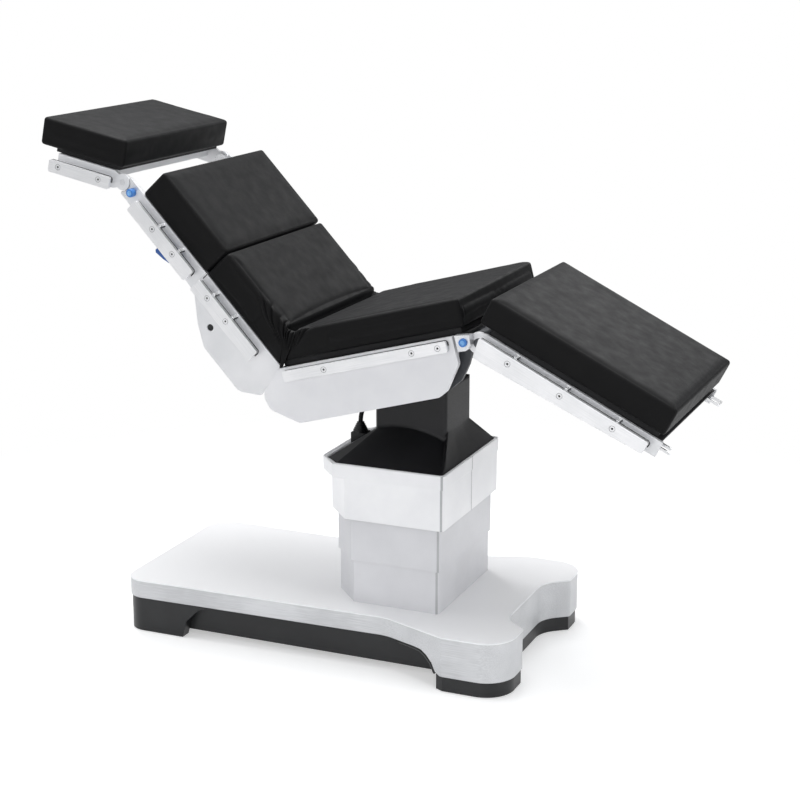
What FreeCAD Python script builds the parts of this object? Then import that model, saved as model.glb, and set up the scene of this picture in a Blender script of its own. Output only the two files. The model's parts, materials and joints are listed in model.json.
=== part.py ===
import FreeCAD, Part
import math
import os
import re

import Sketcher
from FreeCAD import Placement, Rotation, Vector

# Operating table. +X points to the foot end, -Y is the side with the release
# lever, +Z is up and z = 0 is the floor. Lengths are in millimetres, angles in
# degrees. The table stands with its feet down, its top tilted, its back and
# head sections raised and its leg section lowered.

SIZES = {
    # Pedestal base: outline seen from above and heights above the floor.
    "base_head_x": -664,
    "base_foot_x": 459.5,
    "base_half_width": 270,
    "waist_x": 110,
    "waist_half_width": 254,
    "foot_start_x": 290,
    "foot_half_width": 324,
    "notch_x": 397,
    "notch_half_width": 142,
    "notch_mouth_half_width": 191,
    "base_corner_radius": 56,
    "waist_radius": 112,
    "foot_start_radius": 20,
    "foot_corner_radius": 80,
    "notch_mouth_radius": 14,
    "notch_radius": 80,
    "base_top": 147,
    "cover_side_bottom": 97,
    "cover_foot_bottom": 42,
    "cover_step_x": 200,
    "base_wall": 4,
    "skirt_inset": 20,
    "skirt_bottom": 16,
    "housing_inset": 4,
    "housing_bottom": 2,
    "housing_length": 180,
    "housing_slope": 90,
    "housing_reach": 23,
    "housing_band": 45,
    "panel_gap": 0.4,
    # Chassis, floor locks and casters inside the base.
    "chassis_bottom": 108,
    "chassis_thickness": 10,
    "chassis_half_width": 225,
    "chassis_head_inset": 57.5,
    "outrigger_inset": 58.5,
    "lock_head_inset": 104,
    "lock_head_y": 120,
    "lock_foot_inset": 143.5,
    "lock_foot_y": 212,
    "lock_radius": 14,
    "pad_radius": 26,
    "pad_height": 10,
    "caster_head_inset": 74,
    "caster_foot_inset": 74.5,
    "caster_head_side": 70,
    "caster_foot_side": 74,
    "wheel_radius": 42,
    "wheel_width": 22,
    "caster_lift": 6,
    "caster_trail": 18,
    "battery_length": 170,
    "battery_width": 110,
    "battery_height": 68,
    "control_length": 180,
    "control_width": 130,
    "control_height": 50,
    "box_from_skirt": 60,
    "box_from_middle": 45,
    # Telescopic column: covers, guide tubes and lifting ram.
    "column_x": 69.5,
    "upper_cover_length": 347,
    "upper_cover_width": 398,
    "middle_cover_length": 322,
    "middle_cover_width": 376,
    "lower_cover_length": 313,
    "lower_cover_width": 368,
    "cover_chamfer_x": 74,
    "cover_chamfer_y": 80,
    "cover_corner_radius": 8,
    "collar_chamfer_x": 54,
    "collar_chamfer_y": 60,
    "collar_height": 36,
    "collar_proud": 2,
    "collar_lead": 12,
    "collar_lip": 4,
    "cover_wall": 2.5,
    "lower_cover_top": 283,
    "middle_cover_bottom": 262,
    "middle_cover_top": 404,
    "upper_cover_bottom": 377,
    "column_rim": 523,
    "mast_x": 85,
    "mast_width": 130,
    "mast_wall": 6,
    "mast_clearance": 1,
    "glide_height": 30,
    "glide_rise": 6,
    "stage_overlap": 52,
    "ram_rod_radius": 17,
    "ram_wall": 5,
    "ram_clearance": 0.5,
    # Black hood over the tilt head.
    "hood_inset": 6,
    "hood_chamfer_x": 42,
    "hood_chamfer_y": 40,
    "neck_length": 199,
    "neck_width": 170,
    "neck_bottom": 592,
    "neck_top": 720,
    "hood_wall": 4,
    # Tilt head: two crossed axes that meet at the pivot.
    "pivot_x": 105.5,
    "pivot_z": 740,
    "ear_gap": 92,
    "ear_thickness": 18,
    "ear_radius": 22,
    "pin_radius": 12,
    "pin_clearance": 0.05,
    "head_plate_drop": 60,
    "carriage_rise": 50,
    "carriage_plate": 12,
    "carriage_length": 160,
    "carriage_width": 124,
    "guide_height": 14,
    "guide_spacing": 84,
    "rail_gap": 0.3,
    # Table top: sections, their hinges and their angles from the horizontal.
    "seat_angle": 15,
    "back_angle": 47.25,
    "head_angle": 12,
    "leg_angle": 26.5,
    "pivot_to_back_hinge": 274,
    "hinge_above_pivot": 81,
    "seat_span": 558,
    "back_span": 647,
    "head_hinge_rise": 4,
    "section_top": 30,
    "head_top": 24,
    "board_thickness": 6,
    "frame_bottom": 7,
    "pad_half_width": 270,
    "pad_top": 117,
    "pad_underside": 45,
    "pad_base_inset": 14,
    "pad_gap": 2,
    "fold_limit": 70,
    "head_pad_top": 108,
    "head_pad_underside": 34.5,
    "head_pad_start": 4,
    "head_pad_end": 252,
    "seat_pad_end": 26,
    "leg_pad_start": 22,
    "leg_pad_end": 494,
    "back_split": 326,
    "pad_to_head_pivot": 59,
    "plate_to_head_pivot": 43,
    "rail_to_head_pivot": 67,
    # Side plates, side covers and accessory rails.
    "plate_inner": 258,
    "plate_outer": 268,
    "cover_inner": 271,
    "cover_outer": 286,
    "rail_inner": 290,
    "rail_outer": 300,
    "rail_top": 24,
    "seat_rail_height": 28,
    "back_rail_height": 38,
    "head_rail_height": 32,
    "spacer_radius": 6,
    "screw_radius": 7,
    "screw_clearance": 0.3,
    "screw_depth": 2,
    "screw_socket": 3.2,
    "socket_depth": 1.5,
    # Hinge drives and their pins.
    "drive_radius": 26,
    "drive_inner": 150,
    "drive_outer": 248,
    "hinge_pin_radius": 12,
    "head_pin_radius": 8,
    "disc_radius": 21,
    "knuckle_gap": 2.5,
    "eye_radius": 28,
    # Hand controls.
    "button_radius": 10,
    "button_travel": 4,
    "knob_radius": 11,
    "lever_thickness": 8,
    "lever_length": 62,
    "loop_width": 36,
    "loop_reach": 28,
    "loop_bar": 6,
    # Cable from the hood up to the tilt head.
    "cable_radius": 6,
    "cable_x": -74,
    "cable_bend": 38,
    "cable_start": 582,
    "cable_top": 655,
    "boot_radius": 20,
}

doc = FreeCAD.newDocument("operating_table")
sheet = doc.addObject("Spreadsheet::Sheet", "Sizes")
for row, (alias, number) in enumerate(SIZES.items(), 1):
    sheet.set(f"A{row}", alias)
    sheet.set(f"B{row}", str(number))
    sheet.setAlias(f"B{row}", alias)
doc.recompute()


class Length:
    """A size as a number, with the words that bind a property to the sheet."""

    def __init__(self, number, words):
        self.number = number
        self.words = words

    @staticmethod
    def of(other):
        if isinstance(other, Length):
            return other
        return Length(float(other), f"{float(other):.6f}")

    def __add__(self, other):
        other = Length.of(other)
        return Length(self.number + other.number, f"({self.words} + {other.words})")

    def __sub__(self, other):
        other = Length.of(other)
        return Length(self.number - other.number, f"({self.words} - {other.words})")

    def __mul__(self, other):
        other = Length.of(other)
        return Length(self.number * other.number, f"({self.words} * {other.words})")

    def __truediv__(self, other):
        other = Length.of(other)
        return Length(self.number / other.number, f"({self.words} / {other.words})")

    def __neg__(self):
        return Length(-self.number, f"(-1 * {self.words})")

    __radd__ = __add__
    __rmul__ = __mul__

    def __rsub__(self, other):
        return Length.of(other) - self


class Sheet:
    """The sheet's sizes by name."""


s = Sheet()
for alias in SIZES:
    setattr(s, alias, Length(float(sheet.get(alias)), f"Sizes.{alias}"))


def bind(thing, path, length):
    """Bind one property of a document object to the sheet."""
    thing.setExpression(path, Length.of(length).words)


# Frames of the table's sections: a hinge axis along Y and a turn about it.
def seat_point(along, above):
    """A point given in the seat's own axes from the pivot, as X and Z."""
    turn = math.radians(s.seat_angle.number)
    x = s.pivot_x.number + along * math.cos(turn) - above * math.sin(turn)
    z = s.pivot_z.number + along * math.sin(turn) + above * math.cos(turn)
    return x, z


def frame_at(x, z, angle):
    """A placement whose X axis dips by angle below the horizontal."""
    return Placement(Vector(x, 0, z), Rotation(Vector(0, 1, 0), angle))


back_hinge = seat_point(-s.pivot_to_back_hinge.number, s.hinge_above_pivot.number)
leg_along = s.seat_span.number - s.pivot_to_back_hinge.number
leg_hinge = seat_point(leg_along, s.hinge_above_pivot.number)
SEAT = frame_at(*back_hinge, -s.seat_angle.number)
BACK = frame_at(*back_hinge, s.back_angle.number)
LEG = frame_at(*leg_hinge, s.leg_angle.number)
head_pivot = BACK.multVec(Vector(-s.back_span.number, 0, s.head_hinge_rise.number))
HEAD = frame_at(head_pivot.x, head_pivot.z, s.head_angle.number)
TILT = frame_at(s.pivot_x.number, s.pivot_z.number, -s.seat_angle.number)
FLOOR = Placement()

PLANES = {"top": "XY_Plane", "side": "XZ_Plane", "end": "YZ_Plane"}


def new_body(label, frame):
    body = doc.addObject("PartDesign::Body", label)
    body.Label = label
    body.Placement = frame
    return body


def sketch_on(body, view, start):
    """A sketch on one of the body's own planes, moved along the plane's normal."""
    sketch = body.newObject("Sketcher::SketchObject", "Sketch")
    planes = body.Origin.OriginFeatures
    plane = [item for item in planes if item.Role == PLANES[view]][0]
    sketch.AttachmentSupport = [(plane, "")]
    sketch.MapMode = "FlatFace"
    start = Length.of(start)
    sketch.AttachmentOffset = Placement(Vector(0, 0, start.number), Rotation())
    bind(sketch, "AttachmentOffset.Base.z", start)
    return sketch


def draw_outline(sketch, points):
    """A closed outline of straight edges, each corner held by two sizes."""
    corners = [(Length.of(x), Length.of(y)) for x, y in points]
    first = sketch.GeometryCount
    count = len(corners)
    for index in range(count):
        x, y = corners[index]
        far_x, far_y = corners[(index + 1) % count]
        start = Vector(x.number, y.number, 0)
        end = Vector(far_x.number, far_y.number, 0)
        sketch.addGeometry(Part.LineSegment(start, end), False)
    for index in range(count):
        after = first + (index + 1) % count
        sketch.addConstraint(Sketcher.Constraint("Coincident", first + index, 2, after, 1))
    for index, (x, y) in enumerate(corners):
        for axis, length in (("DistanceX", x), ("DistanceY", y)):
            rule = Sketcher.Constraint(axis, first + index, 1, length.number)
            place = sketch.addConstraint(rule)
            bind(sketch, f"Constraints[{place}]", length)


def draw_circle(sketch, x, y, radius):
    x, y, radius = Length.of(x), Length.of(y), Length.of(radius)
    circle = Part.Circle(Vector(x.number, y.number, 0), Vector(0, 0, 1), radius.number)
    place = sketch.addGeometry(circle, False)
    for axis, length in (("DistanceX", x), ("DistanceY", y)):
        rule = sketch.addConstraint(Sketcher.Constraint(axis, place, 3, length.number))
        bind(sketch, f"Constraints[{rule}]", length)
    rule = sketch.addConstraint(Sketcher.Constraint("Radius", place, radius.number))
    bind(sketch, f"Constraints[{rule}]", radius)


def pad(body, sketch, length):
    feature = body.newObject("PartDesign::Pad", "Pad")
    feature.Profile = sketch
    bind(feature, "Length", length)
    doc.recompute()
    return feature


def pocket(body, sketch, length, towards_normal=True):
    """A pocket that has to take material away."""
    before = body.Shape.Volume
    feature = body.newObject("PartDesign::Pocket", "Pocket")
    feature.Profile = sketch
    feature.Reversed = towards_normal
    bind(feature, "Length", length)
    doc.recompute()
    if body.Shape.Volume > before - 1e-6:
        raise ValueError(f"{body.Label}: pocket cuts nothing")
    return feature


def add_block(body, view, points, start, length):
    sketch = sketch_on(body, view, start)
    draw_outline(sketch, points)
    return pad(body, sketch, length)


def cut_block(body, view, points, start, length):
    sketch = sketch_on(body, view, start)
    draw_outline(sketch, points)
    return pocket(body, sketch, length)


def add_round(body, view, x, y, radius, start, length):
    sketch = sketch_on(body, view, start)
    draw_circle(sketch, x, y, radius)
    return pad(body, sketch, length)


def cut_round(body, view, x, y, radius, start, length):
    sketch = sketch_on(body, view, start)
    draw_circle(sketch, x, y, radius)
    return pocket(body, sketch, length)


def rectangle(x_low, x_high, y_low, y_high):
    return [(x_low, y_low), (x_high, y_low), (x_high, y_high), (x_low, y_high)]


def straight_edges(shape, way, corner=None):
    """Names of the edges along an axis, of one corner or of all corners."""
    names = []
    for index, edge in enumerate(shape.Edges, 1):
        ends = [vertex.Point for vertex in edge.Vertexes]
        if len(ends) < 2:
            continue
        run = ends[1] - ends[0]
        if run.Length < 1 or abs(abs(run.dot(way)) - run.Length) > 1e-4:
            continue
        if corner is not None:
            offset = ends[0] - corner
            if (offset - way * offset.dot(way)).Length > 0.01:
                continue
        names.append(f"Edge{index}")
    return names


def soften(body, radius, way, corners=None):
    """Round the edges that run along an axis, at the given corners or all."""
    feature = body.Tip
    shape = feature.Shape
    names = []
    for corner in corners or [None]:
        names += straight_edges(shape, way, corner)
    fillet = body.newObject("PartDesign::Fillet", "Fillet")
    fillet.Base = (feature, names)
    bind(fillet, "Radius", radius)
    doc.recompute()
    if "Invalid" in fillet.State:
        raise ValueError(f"{body.Label}: corner radius does not fit")
    return fillet


ALONG_X = Vector(1, 0, 0)
ALONG_Y = Vector(0, 1, 0)
ALONG_Z = Vector(0, 0, 1)


def corner_at(view, x, y):
    """A sketch corner as a point in the body's own axes."""
    x, y = Length.of(x).number, Length.of(y).number
    if view == "top":
        return Vector(x, y, 0)
    return Vector(x, 0, y)


def other_side(thing):
    """The mirror image of a piece in the table's middle plane."""
    mirror = doc.addObject("Part::Mirroring", f"{thing.Name}_far")
    mirror.Source = thing
    mirror.Base = Vector(0, 0, 0)
    mirror.Normal = Vector(0, 1, 0)
    return mirror


def group(label, things):
    """Several like pieces in one node, as separate solids."""
    compound = doc.addObject("Part::Compound", label)
    compound.Label = label
    compound.Links = things
    return compound


def on_both_sides(label, things):
    return group(label, things + [other_side(thing) for thing in things])


def round_bar(name, frame, x, z, radius, near, far):
    """A round bar along -Y from one distance to another, in a section's axes."""
    near, far = Length.of(near), Length.of(far)
    bar = doc.addObject("Part::Cylinder", name)
    bind(bar, "Radius", radius)
    bind(bar, "Height", far - near)
    start = Vector(Length.of(x).number, -near.number, Length.of(z).number)
    bar.Placement = frame * Placement(start, Rotation(Vector(1, 0, 0), 90))
    return bar


NODES = []


def keep(thing, label=None):
    """Enter a piece in the list of nodes to be written."""
    if label is not None:
        thing.Label = label
    NODES.append(thing)
    return thing


def cover_outline(length, width, chamfer_x, chamfer_y, inset, lead=0):
    """A rectangle whose two corners at the head side are cut off."""
    front = s.column_x - length / 2 + inset - lead
    back = s.column_x + length / 2 - inset
    side = width / 2 - inset
    cut_x = chamfer_x - inset * 0.4
    cut_y = chamfer_y - inset * 0.4
    return [(front, -side + cut_y), (front + cut_x, -side), (back, -side),
            (back, side), (front + cut_x, side), (front, side - cut_y)]


# Base cover: a shell with a flat top, two splayed feet and a notch between them.
def base_outline(inset):
    """Half of the outline on the -Y side and its mirror image."""
    near = [
        (s.base_head_x + inset, -(s.base_half_width - inset)),
        (s.waist_x, -(s.waist_half_width - inset)),
        (s.foot_start_x + inset * 0.3, -(s.foot_half_width - inset)),
        (s.base_foot_x - inset, -(s.foot_half_width - inset)),
        (s.base_foot_x - inset, -(s.notch_mouth_half_width + inset * 0.6)),
        (s.notch_x - inset, -(s.notch_half_width + inset * 0.4)),
    ]
    far = [(x, -1 * y) for x, y in reversed(near)]
    return near + far


def round_base_corners(body, inset, radius, corners):
    """Round upright edges of the base outline at an inset, and their mirror images."""
    outline = base_outline(inset)
    points = []
    for index in corners:
        x, y = outline[index]
        points += [corner_at("top", x, y), corner_at("top", x, -1 * y)]
    soften(body, radius, ALONG_Z, points)


def side_cut(bottom, top):
    """The outline cut from the cover's side, with a sloping end above the foot."""
    return [
        (s.base_head_x - 20, bottom),
        (s.foot_start_x - 4, bottom),
        (s.foot_start_x - 20, bottom + (top - bottom) * 0.15),
        (s.foot_start_x - 31, bottom + (top - bottom) * 0.52),
        (s.foot_start_x - 48, bottom + (top - bottom) * 0.8),
        (s.cover_step_x + 24, top - (top - bottom) * 0.03),
        (s.cover_step_x, top),
        (s.base_head_x - 20, top),
    ]


base_cover = keep(new_body("base_cover", FLOOR))
cover_depth = s.base_top - s.cover_foot_bottom
add_block(base_cover, "top", base_outline(Length.of(0)), s.cover_foot_bottom, cover_depth)
hollow = cover_depth - s.base_wall
cut_block(base_cover, "top", base_outline(s.base_wall), s.cover_foot_bottom, hollow)
# The inside corners are rounded first, so that the wall keeps its thickness.
for corners, outer_radius, bulge in (([0], s.base_corner_radius, 1), ([1], s.waist_radius, -1),
                                     ([2], s.foot_start_radius, 1), ([3], s.foot_corner_radius, 1),
                                     ([4], s.notch_mouth_radius, 1), ([5], s.notch_radius, -1)):
    inner_radius = outer_radius - s.base_wall * bulge
    round_base_corners(base_cover, s.base_wall, inner_radius, corners)
    round_base_corners(base_cover, Length.of(0), outer_radius, corners)
# Along the sides and the head end the cover stops above the black skirt.
cut_block(base_cover, "side", side_cut(s.cover_foot_bottom - 1, s.cover_side_bottom),
          -s.foot_half_width - 10, s.foot_half_width * 2 + 20)
LEDGE = 12
opening = cover_outline(s.lower_cover_length, s.lower_cover_width, s.cover_chamfer_x,
                        s.cover_chamfer_y, Length.of(LEDGE))
cut_block(base_cover, "top", opening, s.base_top - s.base_wall - 1, s.base_wall + 2)

# Black skirt under the cover, set back from the sides, without a floor.
skirt = keep(new_body("base_skirt", FLOOR))
skirt_side = s.waist_half_width - s.skirt_inset
skirt_head = s.base_head_x + s.housing_length - 14
skirt_foot = s.foot_start_x - 10
add_block(skirt, "top", rectangle(skirt_head, skirt_foot, -skirt_side, skirt_side),
          s.skirt_bottom, s.chassis_bottom - s.skirt_bottom)
skirt_bore = skirt_side - s.base_wall
cut_block(skirt, "top",
          rectangle(skirt_head + s.base_wall, skirt_foot - s.base_wall, -skirt_bore, skirt_bore),
          s.skirt_bottom, s.chassis_bottom - s.skirt_bottom)

# Foot housings: one across the head end, one under each splayed foot.
head_housing = new_body("head_housing", FLOOR)
housing_side = s.base_half_width - s.housing_inset
housing_head = s.base_head_x + s.housing_inset
housing_tail = s.base_head_x + s.housing_length
housing_top = s.cover_side_bottom - s.panel_gap
housing_rise = housing_top - s.housing_bottom
add_block(head_housing, "side",
          [(housing_head, s.housing_bottom), (housing_tail, s.housing_bottom),
           (housing_tail + s.housing_slope * 0.14, s.housing_bottom + housing_rise * 0.5),
           (housing_tail + s.housing_slope * 0.55, housing_top - housing_rise * 0.12),
           (housing_tail + s.housing_slope, housing_top), (housing_head, housing_top)],
          -housing_side, housing_side * 2)
inner_head = housing_head + s.base_wall
inner_side = housing_side - s.base_wall
cut_block(head_housing, "top", rectangle(inner_head, skirt_head - 1, -inner_side, inner_side),
          s.housing_bottom - 1, housing_rise + 2)
housing_radius = s.base_corner_radius - s.housing_inset
soften(head_housing, housing_radius - s.base_wall, ALONG_Z,
       [corner_at("top", inner_head, -inner_side), corner_at("top", inner_head, inner_side)])
soften(head_housing, housing_radius, ALONG_Z,
       [corner_at("top", housing_head, -housing_side), corner_at("top", housing_head, housing_side)])
skirt_clear = skirt_side + s.panel_gap
cut_block(head_housing, "top",
          rectangle(skirt_head - 2, housing_tail + s.housing_slope + 1, -skirt_clear, skirt_clear),
          s.housing_bottom - 1, housing_rise + 2)


def foot_outline(inset):
    """Both feet and the band along the notch between them, as one outline seen from above."""
    start = s.foot_start_x - s.housing_reach + inset
    flare = (s.foot_half_width - s.waist_half_width) / (s.foot_start_x - s.waist_x)
    side = s.foot_half_width - flare * s.housing_reach - inset * 1.2
    near = [(start, -side)] + base_outline(inset)[2:6]
    step = skirt_foot + 1 + inset * 0.5
    beside_skirt = skirt_side + 1 + inset
    inner = s.waist_half_width - s.skirt_inset - 100 + inset
    band = s.notch_x - s.housing_band + inset
    near += [(band, -inner), (step, -inner), (step, -beside_skirt), (start, -beside_skirt)]
    outer, inside = near[:5], near[5:]
    far_outer = [(x, -1 * y) for x, y in reversed(outer)]
    far_inside = [(x, -1 * y) for x, y in reversed(inside)]
    return outer + far_outer + far_inside + inside


foot_housing = new_body("foot_housing", FLOOR)
housing_height = s.cover_foot_bottom - s.housing_bottom
add_block(foot_housing, "top", foot_outline(s.housing_inset), s.housing_bottom,
          housing_height - s.panel_gap)
cut_block(foot_housing, "top", foot_outline(s.housing_inset * 2.5), s.housing_bottom - 1,
          housing_height + 2)
for depth in (s.housing_inset * 2.5, s.housing_inset):
    round_base_corners(foot_housing, depth, s.foot_corner_radius - depth, [3])
    round_base_corners(foot_housing, depth, s.notch_radius + depth, [5])
keep(group("foot_housings", [head_housing, foot_housing]))

# Chassis plate with outriggers to the feet and four floor lock posts.
chassis = keep(new_body("chassis", FLOOR))
chassis_head = s.base_head_x + s.chassis_head_inset
outrigger_x = s.base_foot_x - s.outrigger_inset
chassis_foot = outrigger_x - 20
outrigger = s.foot_half_width - 30
add_block(chassis, "top",
          [(chassis_head, -s.chassis_half_width), (s.foot_start_x + 20, -s.chassis_half_width),
           (s.foot_start_x + 20, -outrigger), (outrigger_x, -outrigger),
           (outrigger_x, -s.chassis_half_width + 20),
           (chassis_foot - 10, -s.chassis_half_width + 40),
           (chassis_foot - 10, s.chassis_half_width - 40),
           (outrigger_x, s.chassis_half_width - 20), (outrigger_x, outrigger),
           (s.foot_start_x + 20, outrigger), (s.foot_start_x + 20, s.chassis_half_width),
           (chassis_head, s.chassis_half_width)],
          s.chassis_bottom, s.chassis_thickness)
lock_head_x = s.base_head_x + s.lock_head_inset
lock_foot_x = s.base_foot_x - s.lock_foot_inset
lock_spots = [(lock_head_x, -s.lock_head_y), (lock_head_x, s.lock_head_y),
              (lock_foot_x, -s.lock_foot_y), (lock_foot_x, s.lock_foot_y)]
chassis_top = s.chassis_bottom + s.chassis_thickness
cover_under = s.base_top - s.base_wall
for x, y in lock_spots:
    add_round(chassis, "top", x, y, s.lock_radius, s.pad_height, s.chassis_bottom - s.pad_height + 2)
    # A shorter post above the plate carries the base cover.
    add_round(chassis, "top", x, y, s.lock_radius - 4, chassis_top - 1, cover_under - chassis_top + 1)
caster_head_x = s.base_head_x + s.caster_head_inset
caster_foot_x = s.base_foot_x - s.caster_foot_inset
caster_head_y = s.base_half_width - s.caster_head_side
caster_foot_y = s.foot_half_width - s.caster_foot_side
caster_spots = [(caster_head_x, -caster_head_y), (caster_head_x, caster_head_y),
                (caster_foot_x, -caster_foot_y), (caster_foot_x, caster_foot_y)]
STEM_RADIUS = 8
for x, y in caster_spots:
    cut_round(chassis, "top", x, y, STEM_RADIUS + s.pin_clearance, s.chassis_bottom - 1,
              s.chassis_thickness + 2)

pads = []
for index, (x, y) in enumerate(lock_spots):
    pad_disc = doc.addObject("Part::Cylinder", f"floor_pad_{index}")
    bind(pad_disc, "Radius", s.pad_radius)
    bind(pad_disc, "Height", s.pad_height)
    pad_disc.Placement = Placement(Vector(x.number, y.number, 0), Rotation())
    pads.append(pad_disc)
keep(group("floor_pads", pads))


def block(label, x_low, x_high, y_low, y_high, z_low, z_high, frame=FLOOR):
    """A plain box whose corners are sizes."""
    box = doc.addObject("Part::Box", label)
    box.Label = label
    bind(box, "Length", Length.of(x_high) - x_low)
    bind(box, "Width", Length.of(y_high) - y_low)
    bind(box, "Height", Length.of(z_high) - z_low)
    corner = [Length.of(item).number for item in (x_low, y_low, z_low)]
    box.Placement = frame * Placement(Vector(*corner), Rotation())
    return box


hang = s.chassis_bottom
box_start = skirt_head + s.box_from_skirt
keep(block("battery_pack", box_start, box_start + s.battery_length,
           -(s.box_from_middle + s.battery_width), -s.box_from_middle, hang - s.battery_height, hang))
keep(block("control_box", box_start, box_start + s.control_length,
           s.box_from_middle, s.box_from_middle + s.control_width, hang - s.control_height, hang))

# Casters: swivel forks with wheels, lifted clear of the floor.
wheel_axle_z = s.wheel_radius + s.caster_lift
for index, (x, y) in enumerate(caster_spots, 1):
    fork = keep(new_body(f"caster_fork_{index}", Placement(Vector(x.number, y.number, 0), Rotation())))
    cheek = s.wheel_width / 2 + 2
    fork_top = s.chassis_bottom - 2
    add_block(fork, "top", rectangle(-s.caster_trail - 10, Length.of(12), -cheek - 4, cheek + 4),
              fork_top - 6, Length.of(6))
    add_round(fork, "top", 0, 0, Length.of(STEM_RADIUS), fork_top - 1, s.chassis_thickness + 2)
    for side in (-1, 1):
        inner = cheek if side > 0 else -cheek - 4
        add_block(fork, "side", [(-s.caster_trail - 9, wheel_axle_z - 9),
                                 (-s.caster_trail + 9, wheel_axle_z - 9),
                                 (-s.caster_trail + 14, fork_top - 3),
                                 (-s.caster_trail - 9, fork_top - 3)],
                  inner, Length.of(4))
    add_round(fork, "side", -s.caster_trail, wheel_axle_z, Length.of(5), -cheek - 1, cheek * 2 + 2)
    wheel = keep(new_body(f"caster_wheel_{index}",
                          Placement(Vector(x.number, y.number, 0), Rotation())))
    half = s.wheel_width / 2
    add_round(wheel, "side", -s.caster_trail, wheel_axle_z, s.wheel_radius, -half, s.wheel_width)
    cut_round(wheel, "side", -s.caster_trail, wheel_axle_z, 5 + s.pin_clearance, -half - 1,
              s.wheel_width + 2)


# Telescopic column: three covers around guide tubes and a two-stage ram.
def round_back_corners(body, outline, radius):
    """Round the two upright edges of a cover's outline at the foot side."""
    soften(body, radius, ALONG_Z, [corner_at("top", *outline[2]), corner_at("top", *outline[3])])


def column_cover(label, length, width, bottom, top):
    cover = new_body(label, FLOOR)
    outer = cover_outline(length, width, s.cover_chamfer_x, s.cover_chamfer_y, Length.of(0))
    inner = cover_outline(length, width, s.cover_chamfer_x, s.cover_chamfer_y, s.cover_wall)
    add_block(cover, "top", outer, bottom, top - bottom)
    cut_block(cover, "top", inner, bottom, top - bottom)
    round_back_corners(cover, inner, s.cover_corner_radius - s.cover_wall)
    round_back_corners(cover, outer, s.cover_corner_radius)
    return cover


keep(column_cover("lower_column_cover", s.lower_cover_length, s.lower_cover_width,
                  s.base_top, s.lower_cover_top))
keep(column_cover("middle_column_cover", s.middle_cover_length, s.middle_cover_width,
                  s.middle_cover_bottom, s.middle_cover_top))


def hood_foot(inset):
    """The outline on which the hood stands on the collar's lip."""
    return cover_outline(s.upper_cover_length, s.upper_cover_width, s.hood_chamfer_x,
                         s.hood_chamfer_y, s.hood_inset + inset)


def upper_cover(label, side):
    """One half of the upper cover, with the collar at its rim."""
    cover = column_cover(label, s.upper_cover_length, s.upper_cover_width,
                         s.upper_cover_bottom, s.column_rim)
    collar_length = s.upper_cover_length + s.collar_proud * 2
    collar_width = s.upper_cover_width + s.collar_proud * 2
    outer = cover_outline(collar_length, collar_width, s.collar_chamfer_x, s.collar_chamfer_y,
                          Length.of(0), s.collar_lead)
    inner = cover_outline(s.upper_cover_length, s.upper_cover_width, s.cover_chamfer_x,
                          s.cover_chamfer_y, s.cover_wall)
    add_block(cover, "top", outer, s.column_rim - s.collar_height, s.collar_height)
    round_back_corners(cover, outer, s.cover_corner_radius)
    cut_block(cover, "top", inner, s.column_rim - s.collar_height, s.collar_height - s.collar_lip)
    cut_block(cover, "top", hood_foot(s.hood_wall), s.column_rim - s.collar_lip, s.collar_lip)
    front = s.column_x - collar_length / 2 - s.collar_lead - 1
    back = s.column_x + collar_length / 2 + 1
    far = (collar_width / 2 + 1) * side
    cut_block(cover, "top", [(front, 0), (back, 0), (back, far), (front, far)],
              s.upper_cover_bottom - 1, s.column_rim - s.upper_cover_bottom + 2)
    return cover


keep(upper_cover("upper_cover_near", 1))
keep(upper_cover("upper_cover_far", -1))


def square_tube(label, outside, wall, bottom, top):
    tube = new_body(label, FLOOR)
    half = outside / 2
    bore = half - wall
    add_block(tube, "top", rectangle(s.mast_x - half, s.mast_x + half, -half, half), bottom, top - bottom)
    cut_block(tube, "top", rectangle(s.mast_x - bore, s.mast_x + bore, -bore, bore), bottom, top - bottom)
    return tube


def flange(tube, outline, hole, bottom, thickness):
    """A plate round a tube, which carries the cover at that height."""
    sketch = sketch_on(tube, "top", bottom)
    draw_outline(sketch, outline)
    half = hole / 2
    draw_outline(sketch, rectangle(s.mast_x - half, s.mast_x + half, -half, half))
    return pad(tube, sketch, thickness)


def glide_band(tube, outside, bottom):
    """A band round a tube's lower end, which slides on the bore of the tube round it."""
    half = outside / 2 + s.mast_clearance
    flange(tube, rectangle(s.mast_x - half, s.mast_x + half, -half, half), outside - s.mast_wall,
           bottom + s.glide_rise, s.glide_height)


tube_step = (s.mast_wall + s.mast_clearance) * 2
middle_tube = s.mast_width + tube_step
base_tube = middle_tube + tube_step
base_tube_top = s.lower_cover_top + 3
middle_tube_bottom = base_tube_top - s.stage_overlap
top_tube_bottom = s.middle_cover_top - s.stage_overlap
FLANGE = 4
mast_base = keep(square_tube("mast_base", base_tube, s.mast_wall, chassis_top, base_tube_top))
mast_middle = keep(square_tube("mast_middle", middle_tube, s.mast_wall, middle_tube_bottom,
                               s.middle_cover_top))
middle_rest = cover_outline(s.middle_cover_length, s.middle_cover_width, s.cover_chamfer_x,
                            s.cover_chamfer_y, s.cover_wall)
flange(mast_middle, middle_rest, middle_tube - s.mast_wall, s.middle_cover_top - FLANGE,
       Length.of(FLANGE))
round_back_corners(mast_middle, middle_rest, s.cover_corner_radius - s.cover_wall)
glide_band(mast_middle, middle_tube, middle_tube_bottom)
head_plate_top = s.pivot_z - s.head_plate_drop
mast_top = keep(square_tube("mast_top", s.mast_width, s.mast_wall, top_tube_bottom,
                            head_plate_top - 10))
flange(mast_top, hood_foot(s.hood_wall), s.mast_width - s.mast_wall,
       s.column_rim - s.collar_lip, s.collar_lip)
glide_band(mast_top, s.mast_width, top_tube_bottom)
plate_half = s.mast_width / 2
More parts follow.
